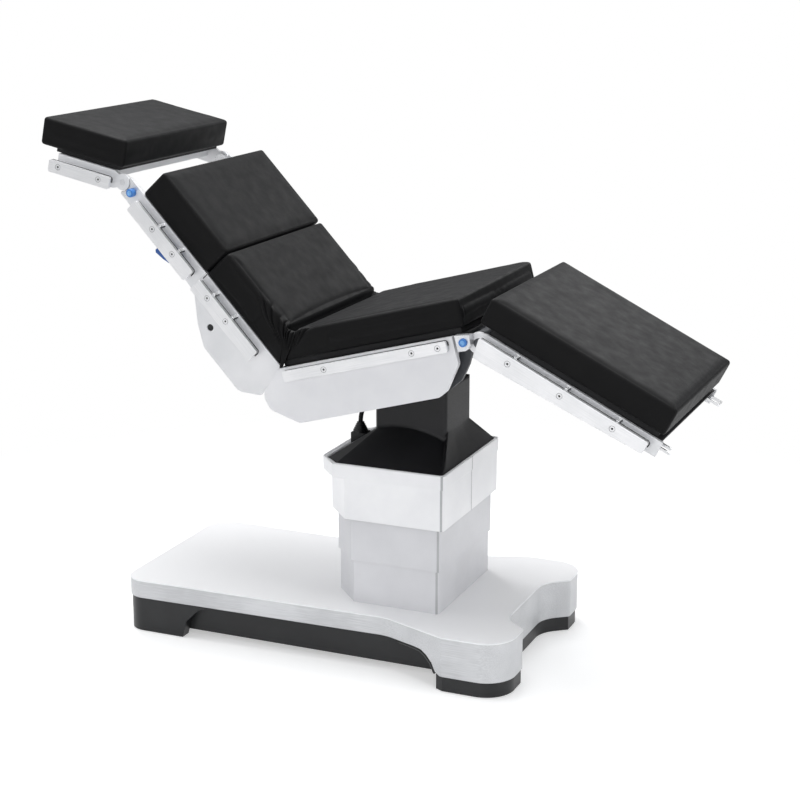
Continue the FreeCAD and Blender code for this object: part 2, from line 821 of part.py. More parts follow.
add_block(mast_top, "top",
          rectangle(s.mast_x - plate_half, s.pivot_x + s.ear_radius + 8, -plate_half, plate_half),
          head_plate_top - 12, Length.of(12))
ear_inner = s.ear_gap / 2
for side in (-1, 1):
    start = ear_inner if side > 0 else -ear_inner - s.ear_thickness
    add_block(mast_top, "side",
              rectangle(s.pivot_x - s.ear_radius, s.pivot_x + s.ear_radius, head_plate_top - 2, s.pivot_z),
              start, s.ear_thickness)
    add_round(mast_top, "side", s.pivot_x, s.pivot_z, s.ear_radius, start, s.ear_thickness)
cut_round(mast_top, "side", s.pivot_x, s.pivot_z, s.pin_radius + s.pin_clearance,
          -ear_inner - s.ear_thickness - 1, s.ear_gap + s.ear_thickness * 2 + 2)


def ring(label, outer, inner, bottom, top):
    """A round tube, or a round bar where inner is None, on the mast's axis."""
    tube = new_body(label, FLOOR)
    add_round(tube, "top", s.mast_x, 0, outer, bottom, top - bottom)
    if inner is not None:
        cut_round(tube, "top", s.mast_x, 0, inner, bottom, top - bottom)
    return tube


stage_bore = s.ram_rod_radius + s.ram_clearance
stage_radius = stage_bore + s.ram_wall
barrel_bore = stage_radius + s.ram_clearance
keep(ring("ram_barrel", barrel_bore + s.ram_wall, barrel_bore, chassis_top, base_tube_top))
keep(ring("ram_stage", stage_radius, stage_bore, middle_tube_bottom, s.middle_cover_top))
keep(ring("ram_rod", s.ram_rod_radius, None, top_tube_bottom, head_plate_top - 12))

# Hood: a hollow pyramid from the column's rim to a straight neck.
hood = keep(new_body("hood", FLOOR))
neck_side = s.neck_width / 2
neck_front = s.pivot_x - s.neck_length / 2
neck_back = s.pivot_x + s.neck_length / 2
NECK_CHAMFER = 6


def neck_outline(inset):
    chamfer = NECK_CHAMFER - inset * 0.4
    front, back, side = neck_front + inset, neck_back - inset, neck_side - inset
    return [(front, -side + chamfer), (front + chamfer, -side), (back, -side),
            (back, side), (front + chamfer, side), (front, side - chamfer)]


def flare(kind, inset, rim, throat):
    """The pyramid between the rim and the neck, outside or inside."""
    low = sketch_on(hood, "top", rim)
    draw_outline(low, hood_foot(inset))
    high = sketch_on(hood, "top", throat)
    draw_outline(high, neck_outline(inset))
    loft = hood.newObject(kind, "Flare")
    loft.Profile = low
    loft.Sections = [high]
    loft.Ruled = True
    doc.recompute()


flare("PartDesign::AdditiveLoft", Length.of(0), s.column_rim, s.neck_bottom)
add_block(hood, "top", neck_outline(Length.of(0)), s.neck_bottom, s.neck_top - s.neck_bottom)
flare("PartDesign::SubtractiveLoft", s.hood_wall, s.column_rim, s.neck_bottom)
cut_block(hood, "top", neck_outline(s.hood_wall), s.neck_bottom - 0.5, s.neck_top - s.neck_bottom + 1)

# Cable that rises behind the hood and turns into the neck, with a ribbed boot.
GLAND = 9


def cable_wire():
    """A rise, a quarter turn and a level run into the neck."""
    x, z0 = s.cable_x.number, s.cable_start.number
    bend, top = s.cable_bend.number, s.cable_top.number - s.cable_radius.number
    face = neck_front.number
    rise = Part.LineSegment(Vector(x, 0, z0), Vector(x, 0, top - bend))
    middle = Vector(x + bend * (1 - math.cos(math.pi / 4)), 0, top - bend * (1 - math.sin(math.pi / 4)))
    turn = Part.Arc(Vector(x, 0, top - bend), middle, Vector(x + bend, 0, top))
    level = Part.LineSegment(Vector(x + bend, 0, top), Vector(face - GLAND, 0, top))
    length = rise.length() + turn.length() + level.length()
    return Part.Wire([rise.toShape(), turn.toShape(), level.toShape()]), length


route, route_length = cable_wire()
radius = s.cable_radius.number
start_ring = Part.Wire([Part.makeCircle(radius, Vector(s.cable_x.number, 0, s.cable_start.number))])
cable = doc.addObject("Part::Feature", "tabletop_cable")
cable.Shape = route.makePipeShell([start_ring], True, True)
keep(cable, "tabletop_cable")
section = math.pi * radius * radius
print("cable: length", round(route_length, 1), "bend radius", s.cable_bend.number,
      "volume ratio", round(cable.Shape.Volume / (section * route_length), 4))

hood_front = s.column_x - s.upper_cover_length / 2 + s.hood_inset


def above_slope(x):
    """The height just above the hood's slope at the head side."""
    rise = (s.neck_bottom - s.column_rim) / (neck_front - hood_front)
    return s.column_rim + (x - hood_front) * rise + s.panel_gap


RIBS = 5
RIB_PITCH = 5.2
boot = new_body("cable_boot_base", FLOOR)
boot_front = s.cable_x - s.boot_radius
boot_back = s.cable_x + s.boot_radius
boot_top = s.cable_start - RIBS * RIB_PITCH
add_block(boot, "side",
          [(boot_front, above_slope(boot_front)), (boot_back, above_slope(boot_back)),
           (boot_back, boot_top), (boot_front, boot_top)],
          -s.boot_radius, s.boot_radius * 2)
boot_parts = [boot]
for index in range(RIBS):
    rib = doc.addObject("Part::Cylinder", f"cable_boot_rib_{index}")
    bind(rib, "Radius", s.boot_radius - index * 2.5)
    bind(rib, "Height", Length.of(RIB_PITCH))
    level = boot_top.number + index * RIB_PITCH
    rib.Placement = Placement(Vector(s.cable_x.number, 0, level), Rotation())
    boot_parts.append(rib)
boot_fuse = doc.addObject("Part::MultiFuse", "cable_boot")
boot_fuse.Shapes = boot_parts
gland = doc.addObject("Part::Cylinder", "cable_gland")
bind(gland, "Radius", s.cable_radius + 4)
bind(gland, "Height", Length.of(GLAND))
gland.Placement = Placement(Vector(neck_front.number - GLAND, 0, s.cable_top.number - radius),
                            Rotation(Vector(0, 1, 0), 90))
keep(group("cable_fittings", [boot_fuse, gland]))

# Tilt head: the cross turns in the mast's ears, the carriage turns on the cross.
cross = keep(new_body("tilt_cross", TILT))
CROSS_HALF = 24
ear_outer = ear_inner + s.ear_thickness
add_block(cross, "side", rectangle(Length.of(-CROSS_HALF - 4), Length.of(CROSS_HALF + 4),
                                   Length.of(-CROSS_HALF + 4), Length.of(CROSS_HALF - 4)),
          Length.of(-CROSS_HALF), Length.of(CROSS_HALF * 2))
add_round(cross, "side", 0, 0, s.pin_radius, -ear_outer, ear_outer * 2)
carriage_ear = s.carriage_length / 2 - 18
add_round(cross, "end", 0, 0, s.pin_radius, -carriage_ear, carriage_ear * 2)

carriage = keep(new_body("slide_carriage", TILT))
long_half = s.carriage_length / 2
wide_half = s.carriage_width / 2
add_block(carriage, "top", rectangle(-long_half, long_half, -wide_half, wide_half),
          s.carriage_rise, s.carriage_plate)
CARRIAGE_EAR = 16
for side in (-1, 1):
    start = carriage_ear - CARRIAGE_EAR if side > 0 else -carriage_ear
    add_block(carriage, "end",
              rectangle(-s.ear_radius + 2, s.ear_radius - 2, Length.of(0), s.carriage_rise + 1),
              start, Length.of(CARRIAGE_EAR))
    add_round(carriage, "end", 0, 0, s.ear_radius - 2, start, Length.of(CARRIAGE_EAR))
cut_round(carriage, "end", 0, 0, s.pin_radius + s.pin_clearance, -carriage_ear - 1, carriage_ear * 2 + 2)
guide_level = s.carriage_rise + s.carriage_plate
guide_side = s.guide_spacing / 2
for x in (-1, 1):
    for y in (-1, 1):
        centre = (long_half - 25) * x
        side = guide_side * y
        add_block(carriage, "top", rectangle(centre - 24, centre + 24, side - 14, side + 14),
                  guide_level - 1, s.guide_height + 1)
MOTOR = 52
keep(block("slide_motor", Length.of(-MOTOR / 2), Length.of(MOTOR / 2), -guide_side + 16, guide_side - 16,
           guide_level, guide_level + s.guide_height - 1, TILT))

# Seat section: frame with slide rails, hinge pins and brackets for the covers.
span = s.seat_span
seat_frame = keep(new_body("seat_frame", SEAT))
frame_top = s.section_top - s.board_thickness
FRAME_END = 38
beam_side = s.plate_inner - 10
add_block(seat_frame, "top",
          rectangle(Length.of(FRAME_END), span - FRAME_END, -beam_side, beam_side),
          s.frame_bottom, frame_top - s.frame_bottom)
SPINE = 80
for y in (-1, 1):
    inner, outer = Length.of(SPINE) * y, (beam_side - 45) * y
    cut_block(seat_frame, "top",
              [(Length.of(FRAME_END + 50), inner), (span - FRAME_END - 50, inner),
               (span - FRAME_END - 50, outer), (Length.of(FRAME_END + 50), outer)],
              s.frame_bottom - 1, frame_top - s.frame_bottom + 2)
rail_bottom = guide_level + s.guide_height + s.rail_gap - s.hinge_above_pivot
RAIL_HALF = 9
for y in (-1, 1):
    side = guide_side * y
    add_block(seat_frame, "top",
              rectangle(Length.of(FRAME_END + 4), span - 92, side - RAIL_HALF, side + RAIL_HALF),
              rail_bottom, s.frame_bottom - rail_bottom + 1)
# Brackets that carry the side covers and the hinge ends.
for y in (-1, 1):
    near, far = (beam_side - 2) * y, s.cover_inner * y
    add_block(seat_frame, "top", [(Length.of(130), near), (span - 130, near),
                                  (span - 130, far), (Length.of(130), far)],
              s.frame_bottom, Length.of(12))
    # Arms that hold the round hinge drives at both ends of the seat.
    for hinge, direction in ((Length.of(0), 1), (span, -1)):
        root = hinge + (FRAME_END + 8) * direction
        tip = hinge + (s.drive_radius - 8) * direction
        points = [(tip, Length.of(-12)), (tip, Length.of(14)), (root, frame_top), (root, s.frame_bottom)]
        add_block(seat_frame, "side", points, s.drive_inner + 20 if y > 0 else -s.drive_outer + 20,
                  s.drive_outer - s.drive_inner - 40)
DRIVE_SEAT = 0.1
for hinge in (Length.of(0), span):
    cut_round(seat_frame, "side", hinge, 0, s.drive_radius + DRIVE_SEAT, -s.drive_outer, s.drive_outer * 2)

drives = []
for name, hinge in (("back_drive", Length.of(0)), ("leg_drive", span)):
    drive = new_body(name, SEAT)
    add_round(drive, "side", hinge, 0, s.drive_radius, s.drive_inner, s.drive_outer - s.drive_inner)
    add_round(drive, "side", hinge, 0, s.hinge_pin_radius, s.drive_outer - 1,
              s.plate_outer - s.drive_outer + 2.5)
    drives.append(drive)
# The leg drive carries a curved arm that runs down beside the seat cover.
arm_band = [(span - 65, -15), (span - 33, -16), (span - 36, -30), (span - 47, -50), (span - 61, -68),
            (span - 77, -86), (span - 109, -102), (span - 126, -92), (span - 98, -76), (span - 80, -56),
            (span - 70, -36)]
ARM_THICKNESS = 12
drive_arm = new_body("leg_drive_arm", SEAT)
add_block(drive_arm, "side", arm_band, s.drive_outer - ARM_THICKNESS - 4, Length.of(ARM_THICKNESS))
add_block(drive_arm, "side",
          rectangle(span - 60, span - s.drive_radius + 4, Length.of(-18), s.frame_bottom),
          s.drive_outer - ARM_THICKNESS - 4, Length.of(ARM_THICKNESS))
cut_round(drive_arm, "side", span, 0, s.drive_radius + DRIVE_SEAT, s.drive_inner, Length.of(120))
keep(on_both_sides("hinge_drives", drives + [drive_arm]))

board_side = s.plate_inner - 2
keep(block("seat_board", Length.of(20), span - 23, -board_side, board_side, frame_top, s.section_top, SEAT))

fold_half = math.radians(s.fold_limit.number / 2)
FOLD = math.tan(fold_half)


def soft_pad(label, frame, profile, base_profile, half_width):
    """A pad of one outline along its section, on a base that is set in."""
    cushion = new_body(label, frame)
    add_block(cushion, "side", profile, -half_width, half_width * 2)
    if base_profile is not None:
        inner = half_width - s.pad_base_inset
        add_block(cushion, "side", base_profile, -inner, inner * 2)
    return cushion


seat_end = span - s.seat_pad_end
keep(soft_pad("seat_pad", SEAT,
              [(s.pad_underside * FOLD + s.pad_gap, s.pad_underside), (seat_end, s.pad_underside),
               (seat_end, s.pad_top), (s.pad_top * FOLD + s.pad_gap, s.pad_top)],
              rectangle(s.pad_underside * FOLD + s.pad_gap, seat_end - s.pad_base_inset,
                        s.section_top, s.pad_underside + 1),
              s.pad_half_width))

side_cover = new_body("side_cover_near", SEAT)
cover_end = s.seat_span - 56
cover_points = [(Length.of(14), s.section_top), (Length.of(-44), Length.of(-27)),
                (Length.of(-33), Length.of(-68)), (Length.of(40), Length.of(-115)),
                (cover_end - 70, Length.of(-111)), (cover_end - 47, Length.of(-99)),
                (cover_end, Length.of(-39)), (cover_end, s.section_top)]
add_block(side_cover, "side", cover_points, s.cover_inner, s.cover_outer - s.cover_inner)
soften(side_cover, Length.of(28), ALONG_Y, [corner_at("side", *cover_points[index]) for index in (1, 2, 3)])
soften(side_cover, Length.of(16), ALONG_Y, [corner_at("side", *cover_points[index]) for index in (4, 5, 6)])
keep(side_cover)
keep(other_side(side_cover), "side_cover_far")


def rail(name, frame, points, spots, corner):
    """A side rail of one outline with rounded ends and a seat for each screw."""
    bar = new_body(name, frame)
    add_block(bar, "side", points, s.rail_inner, s.rail_outer - s.rail_inner)
    soften(bar, corner, ALONG_Y)
    for x, z in spots:
        cut_round(bar, "side", x, z, s.screw_radius, s.rail_outer - s.screw_depth, s.screw_depth + 1)
    return bar


HEXAGON = [(math.cos(math.radians(turn)), math.sin(math.radians(turn))) for turn in range(0, 360, 60)]


def spacers_and_screws(name, frame, spots, inner_face):
    """Spacers behind a rail and socket screws flush with its face, at pairs of X and Z."""
    pieces = []
    reach = s.screw_socket
    for index, (x, z) in enumerate(spots):
        spacer = round_bar(f"{name}_spacer_{index}", frame, x, z, s.spacer_radius, inner_face, s.rail_inner)
        screw = new_body(f"{name}_screw_{index}", frame)
        add_round(screw, "side", x, z, s.screw_radius - s.screw_clearance,
                  s.rail_outer - s.screw_depth, s.screw_depth)
        socket = [(x + reach * across, z + reach * up) for across, up in HEXAGON]
        cut_block(screw, "side", socket, s.rail_outer - s.socket_depth, s.socket_depth + 1)
        pieces += [spacer, screw]
    return pieces


ROUND_END = Length.of(5)
seat_rail_bottom = s.rail_top - s.seat_rail_height
seat_rail_middle = s.rail_top - s.seat_rail_height / 2
seat_spots = [(Length.of(150), seat_rail_middle), (span - 164, seat_rail_middle),
              (span - 94, seat_rail_middle)]
seat_rail = rail("seat_rail", SEAT, rectangle(Length.of(33), span - 70, seat_rail_bottom, s.rail_top),
                 seat_spots, ROUND_END)
keep(on_both_sides("seat_rails",
                   [seat_rail] + spacers_and_screws("seat", SEAT, seat_spots, s.cover_outer)))

# Leg hinge blocks at the seat's end, each with a release button.
hinge_block = new_body("leg_hinge_block", SEAT)
BUTTON_ALONG = 27
BUTTON_ABOVE = 12
block_points = [(span - 46, Length.of(-8)), (span - 26, Length.of(-9)), (span - 10, Length.of(3)),
                (span - 8, Length.of(27)), (span - 46, Length.of(32))]
add_block(hinge_block, "side", block_points, s.cover_inner, s.rail_inner + 4 - s.cover_inner)
add_block(hinge_block, "side", rectangle(span - 46, span - 35, Length.of(-6), frame_top - 2),
          beam_side, s.cover_inner - beam_side + 1)
cut_round(hinge_block, "side", span - BUTTON_ALONG, Length.of(BUTTON_ABOVE), s.button_radius + 0.5,
          s.cover_inner + 4, Length.of(40))
keep(on_both_sides("leg_hinge_blocks", [hinge_block]))
button_near = new_body("release_button_near", SEAT)
button_base = s.cover_inner + 5 + s.button_travel
add_round(button_near, "side", span - BUTTON_ALONG, Length.of(BUTTON_ABOVE), s.button_radius,
          button_base, s.rail_outer - button_base)
keep(button_near)
keep(other_side(button_near), "release_button_far")

# Back section. Along the section the body's X axis points back to the hinge.
back_plate = new_body("lower_back_plate", BACK)
split = s.back_split
plate_points = [(Length.of(-14), s.section_top), (Length.of(-14), Length.of(12)),
                (Length.of(-2), Length.of(-68)), (Length.of(-47), Length.of(-111)),
                (Length.of(-192), Length.of(-111)), (Length.of(-247), Length.of(-82)),
                (-split + 18, Length.of(-36)), (-split, Length.of(-31)), (-split, s.section_top)]
plate_depth = s.plate_outer - s.plate_inner
add_block(back_plate, "side", plate_points, s.plate_inner, plate_depth)
add_round(back_plate, "side", 0, 0, s.eye_radius, s.plate_inner, plate_depth)
soften(back_plate, Length.of(30), ALONG_Y,
       [corner_at("side", *plate_points[index]) for index in (3, 4)])
cut_round(back_plate, "side", 0, 0, s.hinge_pin_radius + s.pin_clearance, s.plate_inner - 1, plate_depth + 2)
SIGHT_HOLE = 9
cut_round(back_plate, "side", Length.of(-218), Length.of(-60), Length.of(SIGHT_HOLE), s.plate_inner - 1,
          plate_depth + 2)
lower_beam = block("lower_back_beam", Length.of(-90), Length.of(-62), -s.plate_inner, s.plate_inner,
                   Length.of(-6), frame_top, BACK)
upper_beam = block("lower_back_beam_top", -split + 8, -split + 36, -s.plate_inner, s.plate_inner,
                   Length.of(-6), frame_top, BACK)
keep(group("lower_back_frame", [back_plate, other_side(back_plate), lower_beam, upper_beam]))

upper_plate = new_body("upper_back_plate", BACK)
upper_end = s.plate_to_head_pivot - s.back_span
upper_points = [(-split, Length.of(-31)), (-split, s.section_top), (upper_end, s.section_top),
                (upper_end, Length.of(-20))]
add_block(upper_plate, "side", upper_points, s.plate_inner, plate_depth)
beam_a = block("upper_back_beam", -split - 40, -split - 12, -s.plate_inner, s.plate_inner,
               Length.of(-6), frame_top, BACK)
beam_b = block("upper_back_beam_top", upper_end + 6, upper_end + 34, -s.plate_inner, s.plate_inner,
               Length.of(-6), frame_top, BACK)
keep(group("upper_back_frame", [upper_plate, other_side(upper_plate), beam_a, beam_b]))
keep(block("back_board", upper_end + 16, Length.of(-34), -board_side, board_side, frame_top,
           s.section_top, BACK))

keep(soft_pad("lower_back_pad", BACK,
              [(-split + s.pad_gap, s.section_top), (-split + s.pad_gap, s.pad_top),
               (-(s.pad_top * FOLD) - s.pad_gap, s.pad_top),
               (-(s.section_top * FOLD) - s.pad_gap, s.section_top)],
              None, s.pad_half_width))
keep(soft_pad("upper_back_pad", BACK,
              rectangle(s.pad_to_head_pivot - s.back_span, -split - s.pad_gap / 2, s.section_top, s.pad_top),
              None, s.pad_half_width))

back_rail_top = s.rail_top - 4
back_rail_bottom = back_rail_top - s.back_rail_height
back_rail_middle = back_rail_top - s.back_rail_height / 2 + 3
lower_spots = [(-split + from_split, back_rail_middle) for from_split in (129, 54)]
upper_spots = [(-split - from_split, back_rail_middle) for from_split in (90, 172)]
back_spots = lower_spots + upper_spots
lower_rail = rail("lower_back_rail", BACK,
                  rectangle(-split + 6, Length.of(-84), back_rail_bottom, back_rail_top),
                  lower_spots, ROUND_END)
upper_rail_end = s.rail_to_head_pivot - s.back_span
upper_rail = rail("upper_back_rail", BACK,
                  rectangle(upper_rail_end, -split - 20, back_rail_bottom, back_rail_top),
                  upper_spots, ROUND_END)
keep(on_both_sides("back_rails", [lower_rail, upper_rail]
                   + spacers_and_screws("back", BACK, back_spots, s.plate_outer)))

# Release lever of the upper back section, on the near side only.
lever = keep(new_body("release_lever", BACK))
LEVER_FROM_SPLIT = 72
LEVER_DROP = 11
pivot_x, pivot_z = -split - LEVER_FROM_SPLIT, Length.of(-LEVER_DROP)
lever_inner = s.plate_outer + 3
add_block(lever, "side",
          [(pivot_x + 8, pivot_z + 7), (pivot_x + 8, pivot_z - 6), (pivot_x - 20, pivot_z - 14),
           (pivot_x - s.lever_length + 6, pivot_z - 26), (pivot_x - s.lever_length, pivot_z - 20),
           (pivot_x - s.lever_length + 4, pivot_z - 6), (pivot_x - 16, pivot_z + 7)],
          lever_inner, s.lever_thickness)
add_round(lever, "side", pivot_x, pivot_z, Length.of(4), s.plate_outer + 0.3, Length.of(4))

# Head sockets: knuckles with a forked end round the head section's hinge discs.
socket = new_body("head_socket", BACK)
eye_x = -s.back_span
eye_z = s.head_hinge_rise
fork_reach = s.disc_radius + s.knuckle_gap
add_block(socket, "side",
          [(upper_end, Length.of(-20)), (upper_end, s.section_top), (upper_end - 18, s.section_top),
           (eye_x + 6, eye_z + 26), (eye_x + 16, eye_z - 24), (upper_end - 10, Length.of(-20))],
          s.plate_inner, plate_depth)
cut_round(socket, "side", eye_x, eye_z, fork_reach, s.plate_inner - 1, plate_depth + 2)
EAR_GAP = 1
EAR_DEPTH = 14
ear_start = s.plate_inner - EAR_GAP - EAR_DEPTH
add_block(socket, "side",
          [(upper_end + 4, Length.of(-14)), (upper_end + 4, frame_top), (eye_x, eye_z + 14),
           (eye_x, eye_z - 14)],
          ear_start, Length.of(EAR_DEPTH))
add_block(socket, "side",
          [(upper_end - 6, Length.of(-14)), (upper_end - 6, frame_top), (upper_end - 1, frame_top),
           (upper_end - 1, Length.of(-14))],
          s.plate_inner - EAR_GAP - 1, Length.of(EAR_GAP + 2))
add_round(socket, "side", eye_x, eye_z, Length.of(14), ear_start, Length.of(EAR_DEPTH))
add_round(socket, "side", eye_x, eye_z, s.head_pin_radius, ear_start + 2,
          s.plate_outer - ear_start - 2)
KNOB_FROM_PIVOT = 38
knob_x = KNOB_FROM_PIVOT - s.back_span
KNOB_ABOVE = 9
KNOB_DEPTH = 16
cut_round(socket, "side", knob_x, Length.of(KNOB_ABOVE), 4 + s.pin_clearance,
          s.plate_inner + 2, Length.of(20))
keep(on_both_sides("head_sockets", [socket]))
knob_near = new_body("head_knob_near", BACK)
add_round(knob_near, "side", knob_x, Length.of(KNOB_ABOVE), Length.of(4),
          s.plate_inner + 3, plate_depth + 1)
knob_face = s.plate_outer + 1
add_round(knob_near, "side", knob_x, Length.of(KNOB_ABOVE), s.knob_radius,
          knob_face, Length.of(KNOB_DEPTH))
knob_form = knob_near.Tip
knob_end = -(knob_face.number + KNOB_DEPTH)
rim = [f"Edge{index}" for index, edge in enumerate(knob_form.Shape.Edges, 1)
       if abs(edge.CenterOfMass.y - knob_end) < 0.01]
knob_round = knob_near.newObject("PartDesign::Fillet", "Fillet")
knob_round.Base = (knob_form, rim)
bind(knob_round, "Radius", s.knob_radius / 3)
doc.recompute()
keep(knob_near)
keep(other_side(knob_near), "head_knob_far")

# Head section: side plates with hinge discs, beams, rails and pad.
head_plate = new_body("head_plate", HEAD)
head_end = Length.of(-197)
add_block(head_plate, "side",
          [(Length.of(-6), Length.of(-14)), (Length.of(-6), Length.of(14)), (Length.of(-26), s.head_top),
           (head_end, s.head_top), (head_end, Length.of(-14)), (Length.of(-26), Length.of(-22))],
          s.plate_inner, plate_depth)
add_round(head_plate, "side", 0, 0, s.disc_radius, s.plate_inner, plate_depth)
cut_round(head_plate, "side", 0, 0, s.head_pin_radius + s.pin_clearance, s.plate_inner - 1, plate_depth + 2)
head_beams = []
for index, x in enumerate((-190, -70)):
    beam = block(f"head_beam_{index}", Length.of(x), Length.of(x + 24), -s.plate_inner, s.plate_inner,
                 Length.of(-4), s.head_top - s.board_thickness, HEAD)
    head_beams.append(beam)
keep(group("head_frame", [head_plate, other_side(head_plate)] + head_beams))
keep(block("head_board", head_end, Length.of(-42), -board_side, board_side,
           s.head_top - s.board_thickness, s.head_top, HEAD))
keep(soft_pad("head_pad", HEAD,
              rectangle(-s.head_pad_end, -s.head_pad_start, s.head_pad_underside, s.head_pad_top),
              rectangle(-s.head_pad_end + 40, -s.head_pad_start - 16, s.head_top, s.head_pad_underside + 1),
              s.pad_half_width))
head_rail_top = Length.of(11)
head_rail_bottom = head_rail_top - s.head_rail_height
head_spots = [(Length.of(-along), head_rail_top - s.head_rail_height / 2 + 2) for along in (53, 175)]
head_rail = rail("head_rail", HEAD,
                 rectangle(Length.of(-203), Length.of(-20), head_rail_bottom, head_rail_top),
                 head_spots, ROUND_END)
keep(on_both_sides("head_rails",
                   [head_rail] + spacers_and_screws("head", HEAD, head_spots, s.plate_outer)))

# Leg section: tapered side plates with hinge eyes, beams, tapered outer rails and pad.
leg_plate = new_body("leg_plate", LEG)
leg_end = s.leg_pad_end + 5
add_block(leg_plate, "side",
          [(0, -s.eye_radius + 1), (leg_end, Length.of(-10)), (leg_end, s.section_top),
           (Length.of(10), s.section_top), (0, s.eye_radius - 1)],
          s.plate_inner, plate_depth)
add_round(leg_plate, "side", 0, 0, s.eye_radius - 1, s.plate_inner, plate_depth)
cut_round(leg_plate, "side", 0, 0, s.hinge_pin_radius + s.pin_clearance, s.plate_inner - 1, plate_depth + 2)
leg_beams = []
BEAM = 26
last_beam = s.leg_pad_end - 34
for index, x in enumerate((Length.of(46), s.leg_pad_end / 2, last_beam)):
    beam = block(f"leg_beam_{index}", x, x + BEAM, -s.plate_inner, s.plate_inner, Length.of(-2),
                 frame_top, LEG)
    leg_beams.append(beam)
keep(group("leg_frame", [leg_plate, other_side(leg_plate)] + leg_beams))
keep(block("leg_board", Length.of(40), s.leg_pad_end, -board_side, board_side, frame_top, s.section_top, LEG))
keep(soft_pad("leg_pad", LEG,
              rectangle(-s.leg_pad_start, s.leg_pad_end, s.pad_underside, s.pad_top),
              rectangle(Length.of(12), s.leg_pad_end - s.pad_base_inset, s.section_top, s.pad_underside + 1),
              s.pad_half_width))
leg_spots = [(Length.of(along), Length.of(6)) for along in (92, 238, 384)]
leg_rail = rail("leg_rail", LEG,
                [(Length.of(2), Length.of(25)), (Length.of(10), Length.of(-26)),
                 (Length.of(24), Length.of(-27)), (s.leg_pad_end - 22, Length.of(-9)),
                 (s.leg_pad_end - 20, Length.of(24))], leg_spots, ROUND_END)
keep(on_both_sides("leg_rails", [leg_rail] + spacers_and_screws("leg", LEG, leg_spots, s.plate_outer)))

# Square loop handles at the foot end of the leg section.
loop = new_body("loop_handle", LEG)
loop_near = s.plate_inner - s.loop_width
LOOP_LEVEL = 8
add_block(loop, "top", rectangle(last_beam + BEAM, leg_end + s.loop_reach, loop_near, s.plate_inner),
          Length.of(LOOP_LEVEL), Length.of(6))
cut_block(loop, "top",
          rectangle(leg_end - 2, leg_end + s.loop_reach - s.loop_bar, loop_near + s.loop_bar,
                    s.plate_inner - s.loop_bar),
          Length.of(LOOP_LEVEL - 1), Length.of(8))
soften(loop, Length.of(4), ALONG_Z, [corner_at("top", leg_end + s.loop_reach, loop_near),
                                     corner_at("top", leg_end + s.loop_reach, s.plate_inner)])
keep(on_both_sides("leg_loops", [loop]))

doc.recompute()
for thing in doc.Objects:
    if "Invalid" in thing.State or "Error" in thing.State:
        raise ValueError(f"{thing.Name} in {[item.Label for item in thing.InList]} failed: {thing.State}")
os.makedirs("parts", exist_ok=True)
names = [thing.Label for thing in NODES]
if len(set(names)) != len(names) or len(names) > 60:
    raise ValueError(f"{len(names)} nodes, {len(set(names))} names")
for thing in NODES:
    if not re.fullmatch(r"[a-z0-9_]+", thing.Label):
        raise ValueError(f"node name {thing.Label}")
    if thing.Shape.isNull() or not thing.Shape.isValid() or not thing.Shape.Solids:
        raise ValueError(f"{thing.Label} is not a valid solid")
    thing.Shape.exportStep(f"parts/{thing.Label}.step")
print(len(names), "nodes")
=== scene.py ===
# %% [markdown]
# # An electric operating table
#
# The table's solids come from the CAD model as a fixed frame. This lesson gives every solid
# the finish of its real material, and makes the shapes that a solid can't show well: foam
# cushions with sewn covers, a moulded hood, a bent cable, and small hardware.
# Lengths are in metres, and section shapes are written in millimetres along their own axes.

import json
import math

import bpy
import numpy as np
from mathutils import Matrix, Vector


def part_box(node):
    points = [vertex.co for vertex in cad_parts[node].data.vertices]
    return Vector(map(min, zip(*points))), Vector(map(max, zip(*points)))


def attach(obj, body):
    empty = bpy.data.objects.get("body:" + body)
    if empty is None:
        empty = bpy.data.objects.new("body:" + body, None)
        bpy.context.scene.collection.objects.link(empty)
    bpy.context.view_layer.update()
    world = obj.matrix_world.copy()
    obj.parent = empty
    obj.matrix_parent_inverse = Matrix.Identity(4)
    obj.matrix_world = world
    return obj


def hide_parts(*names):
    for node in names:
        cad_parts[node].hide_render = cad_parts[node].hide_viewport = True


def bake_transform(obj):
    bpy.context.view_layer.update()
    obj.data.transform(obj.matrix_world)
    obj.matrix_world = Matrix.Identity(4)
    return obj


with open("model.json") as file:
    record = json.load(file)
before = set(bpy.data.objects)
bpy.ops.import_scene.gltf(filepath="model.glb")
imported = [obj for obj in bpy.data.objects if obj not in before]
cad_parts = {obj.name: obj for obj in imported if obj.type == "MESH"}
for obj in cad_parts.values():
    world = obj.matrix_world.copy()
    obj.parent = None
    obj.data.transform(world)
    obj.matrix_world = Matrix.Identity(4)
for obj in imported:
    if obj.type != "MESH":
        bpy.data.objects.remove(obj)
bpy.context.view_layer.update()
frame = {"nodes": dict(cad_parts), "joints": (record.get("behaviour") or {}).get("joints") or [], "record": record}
NODES = frame["nodes"]
MM = 0.001

# %% [markdown]
# ## The camera
#
# The picture was taken from a little above the table's middle and 23 degrees round to the
# foot end, with a long lens. Lines that are parallel on the table meet far outside the
# picture, which gives the distance: about 4.7 metres.

# %% Camera
CAMERA_PLACE = (1.8363, -4.1917, 1.8583)
CAMERA_TILT, CAMERA_TURN = 75.2, 23.2
SENSOR = 36.0
FOCAL_PIXELS, PICTURE_PIXELS = 1795.4, 800

lens = bpy.data.cameras.new("camera")
lens.sensor_width = SENSOR
lens.lens = FOCAL_PIXELS / PICTURE_PIXELS * SENSOR
lens.clip_end = 60
camera = bpy.data.objects.new("camera", lens)
camera.location = CAMERA_PLACE
camera.rotation_euler = (math.radians(CAMERA_TILT), 0, math.radians(CAMERA_TURN))
bpy.context.scene.collection.objects.link(camera)
bpy.context.scene.camera = camera
bpy.context.scene.view_settings.view_transform = "Standard"
print("lens", round(lens.lens, 2), "mm")

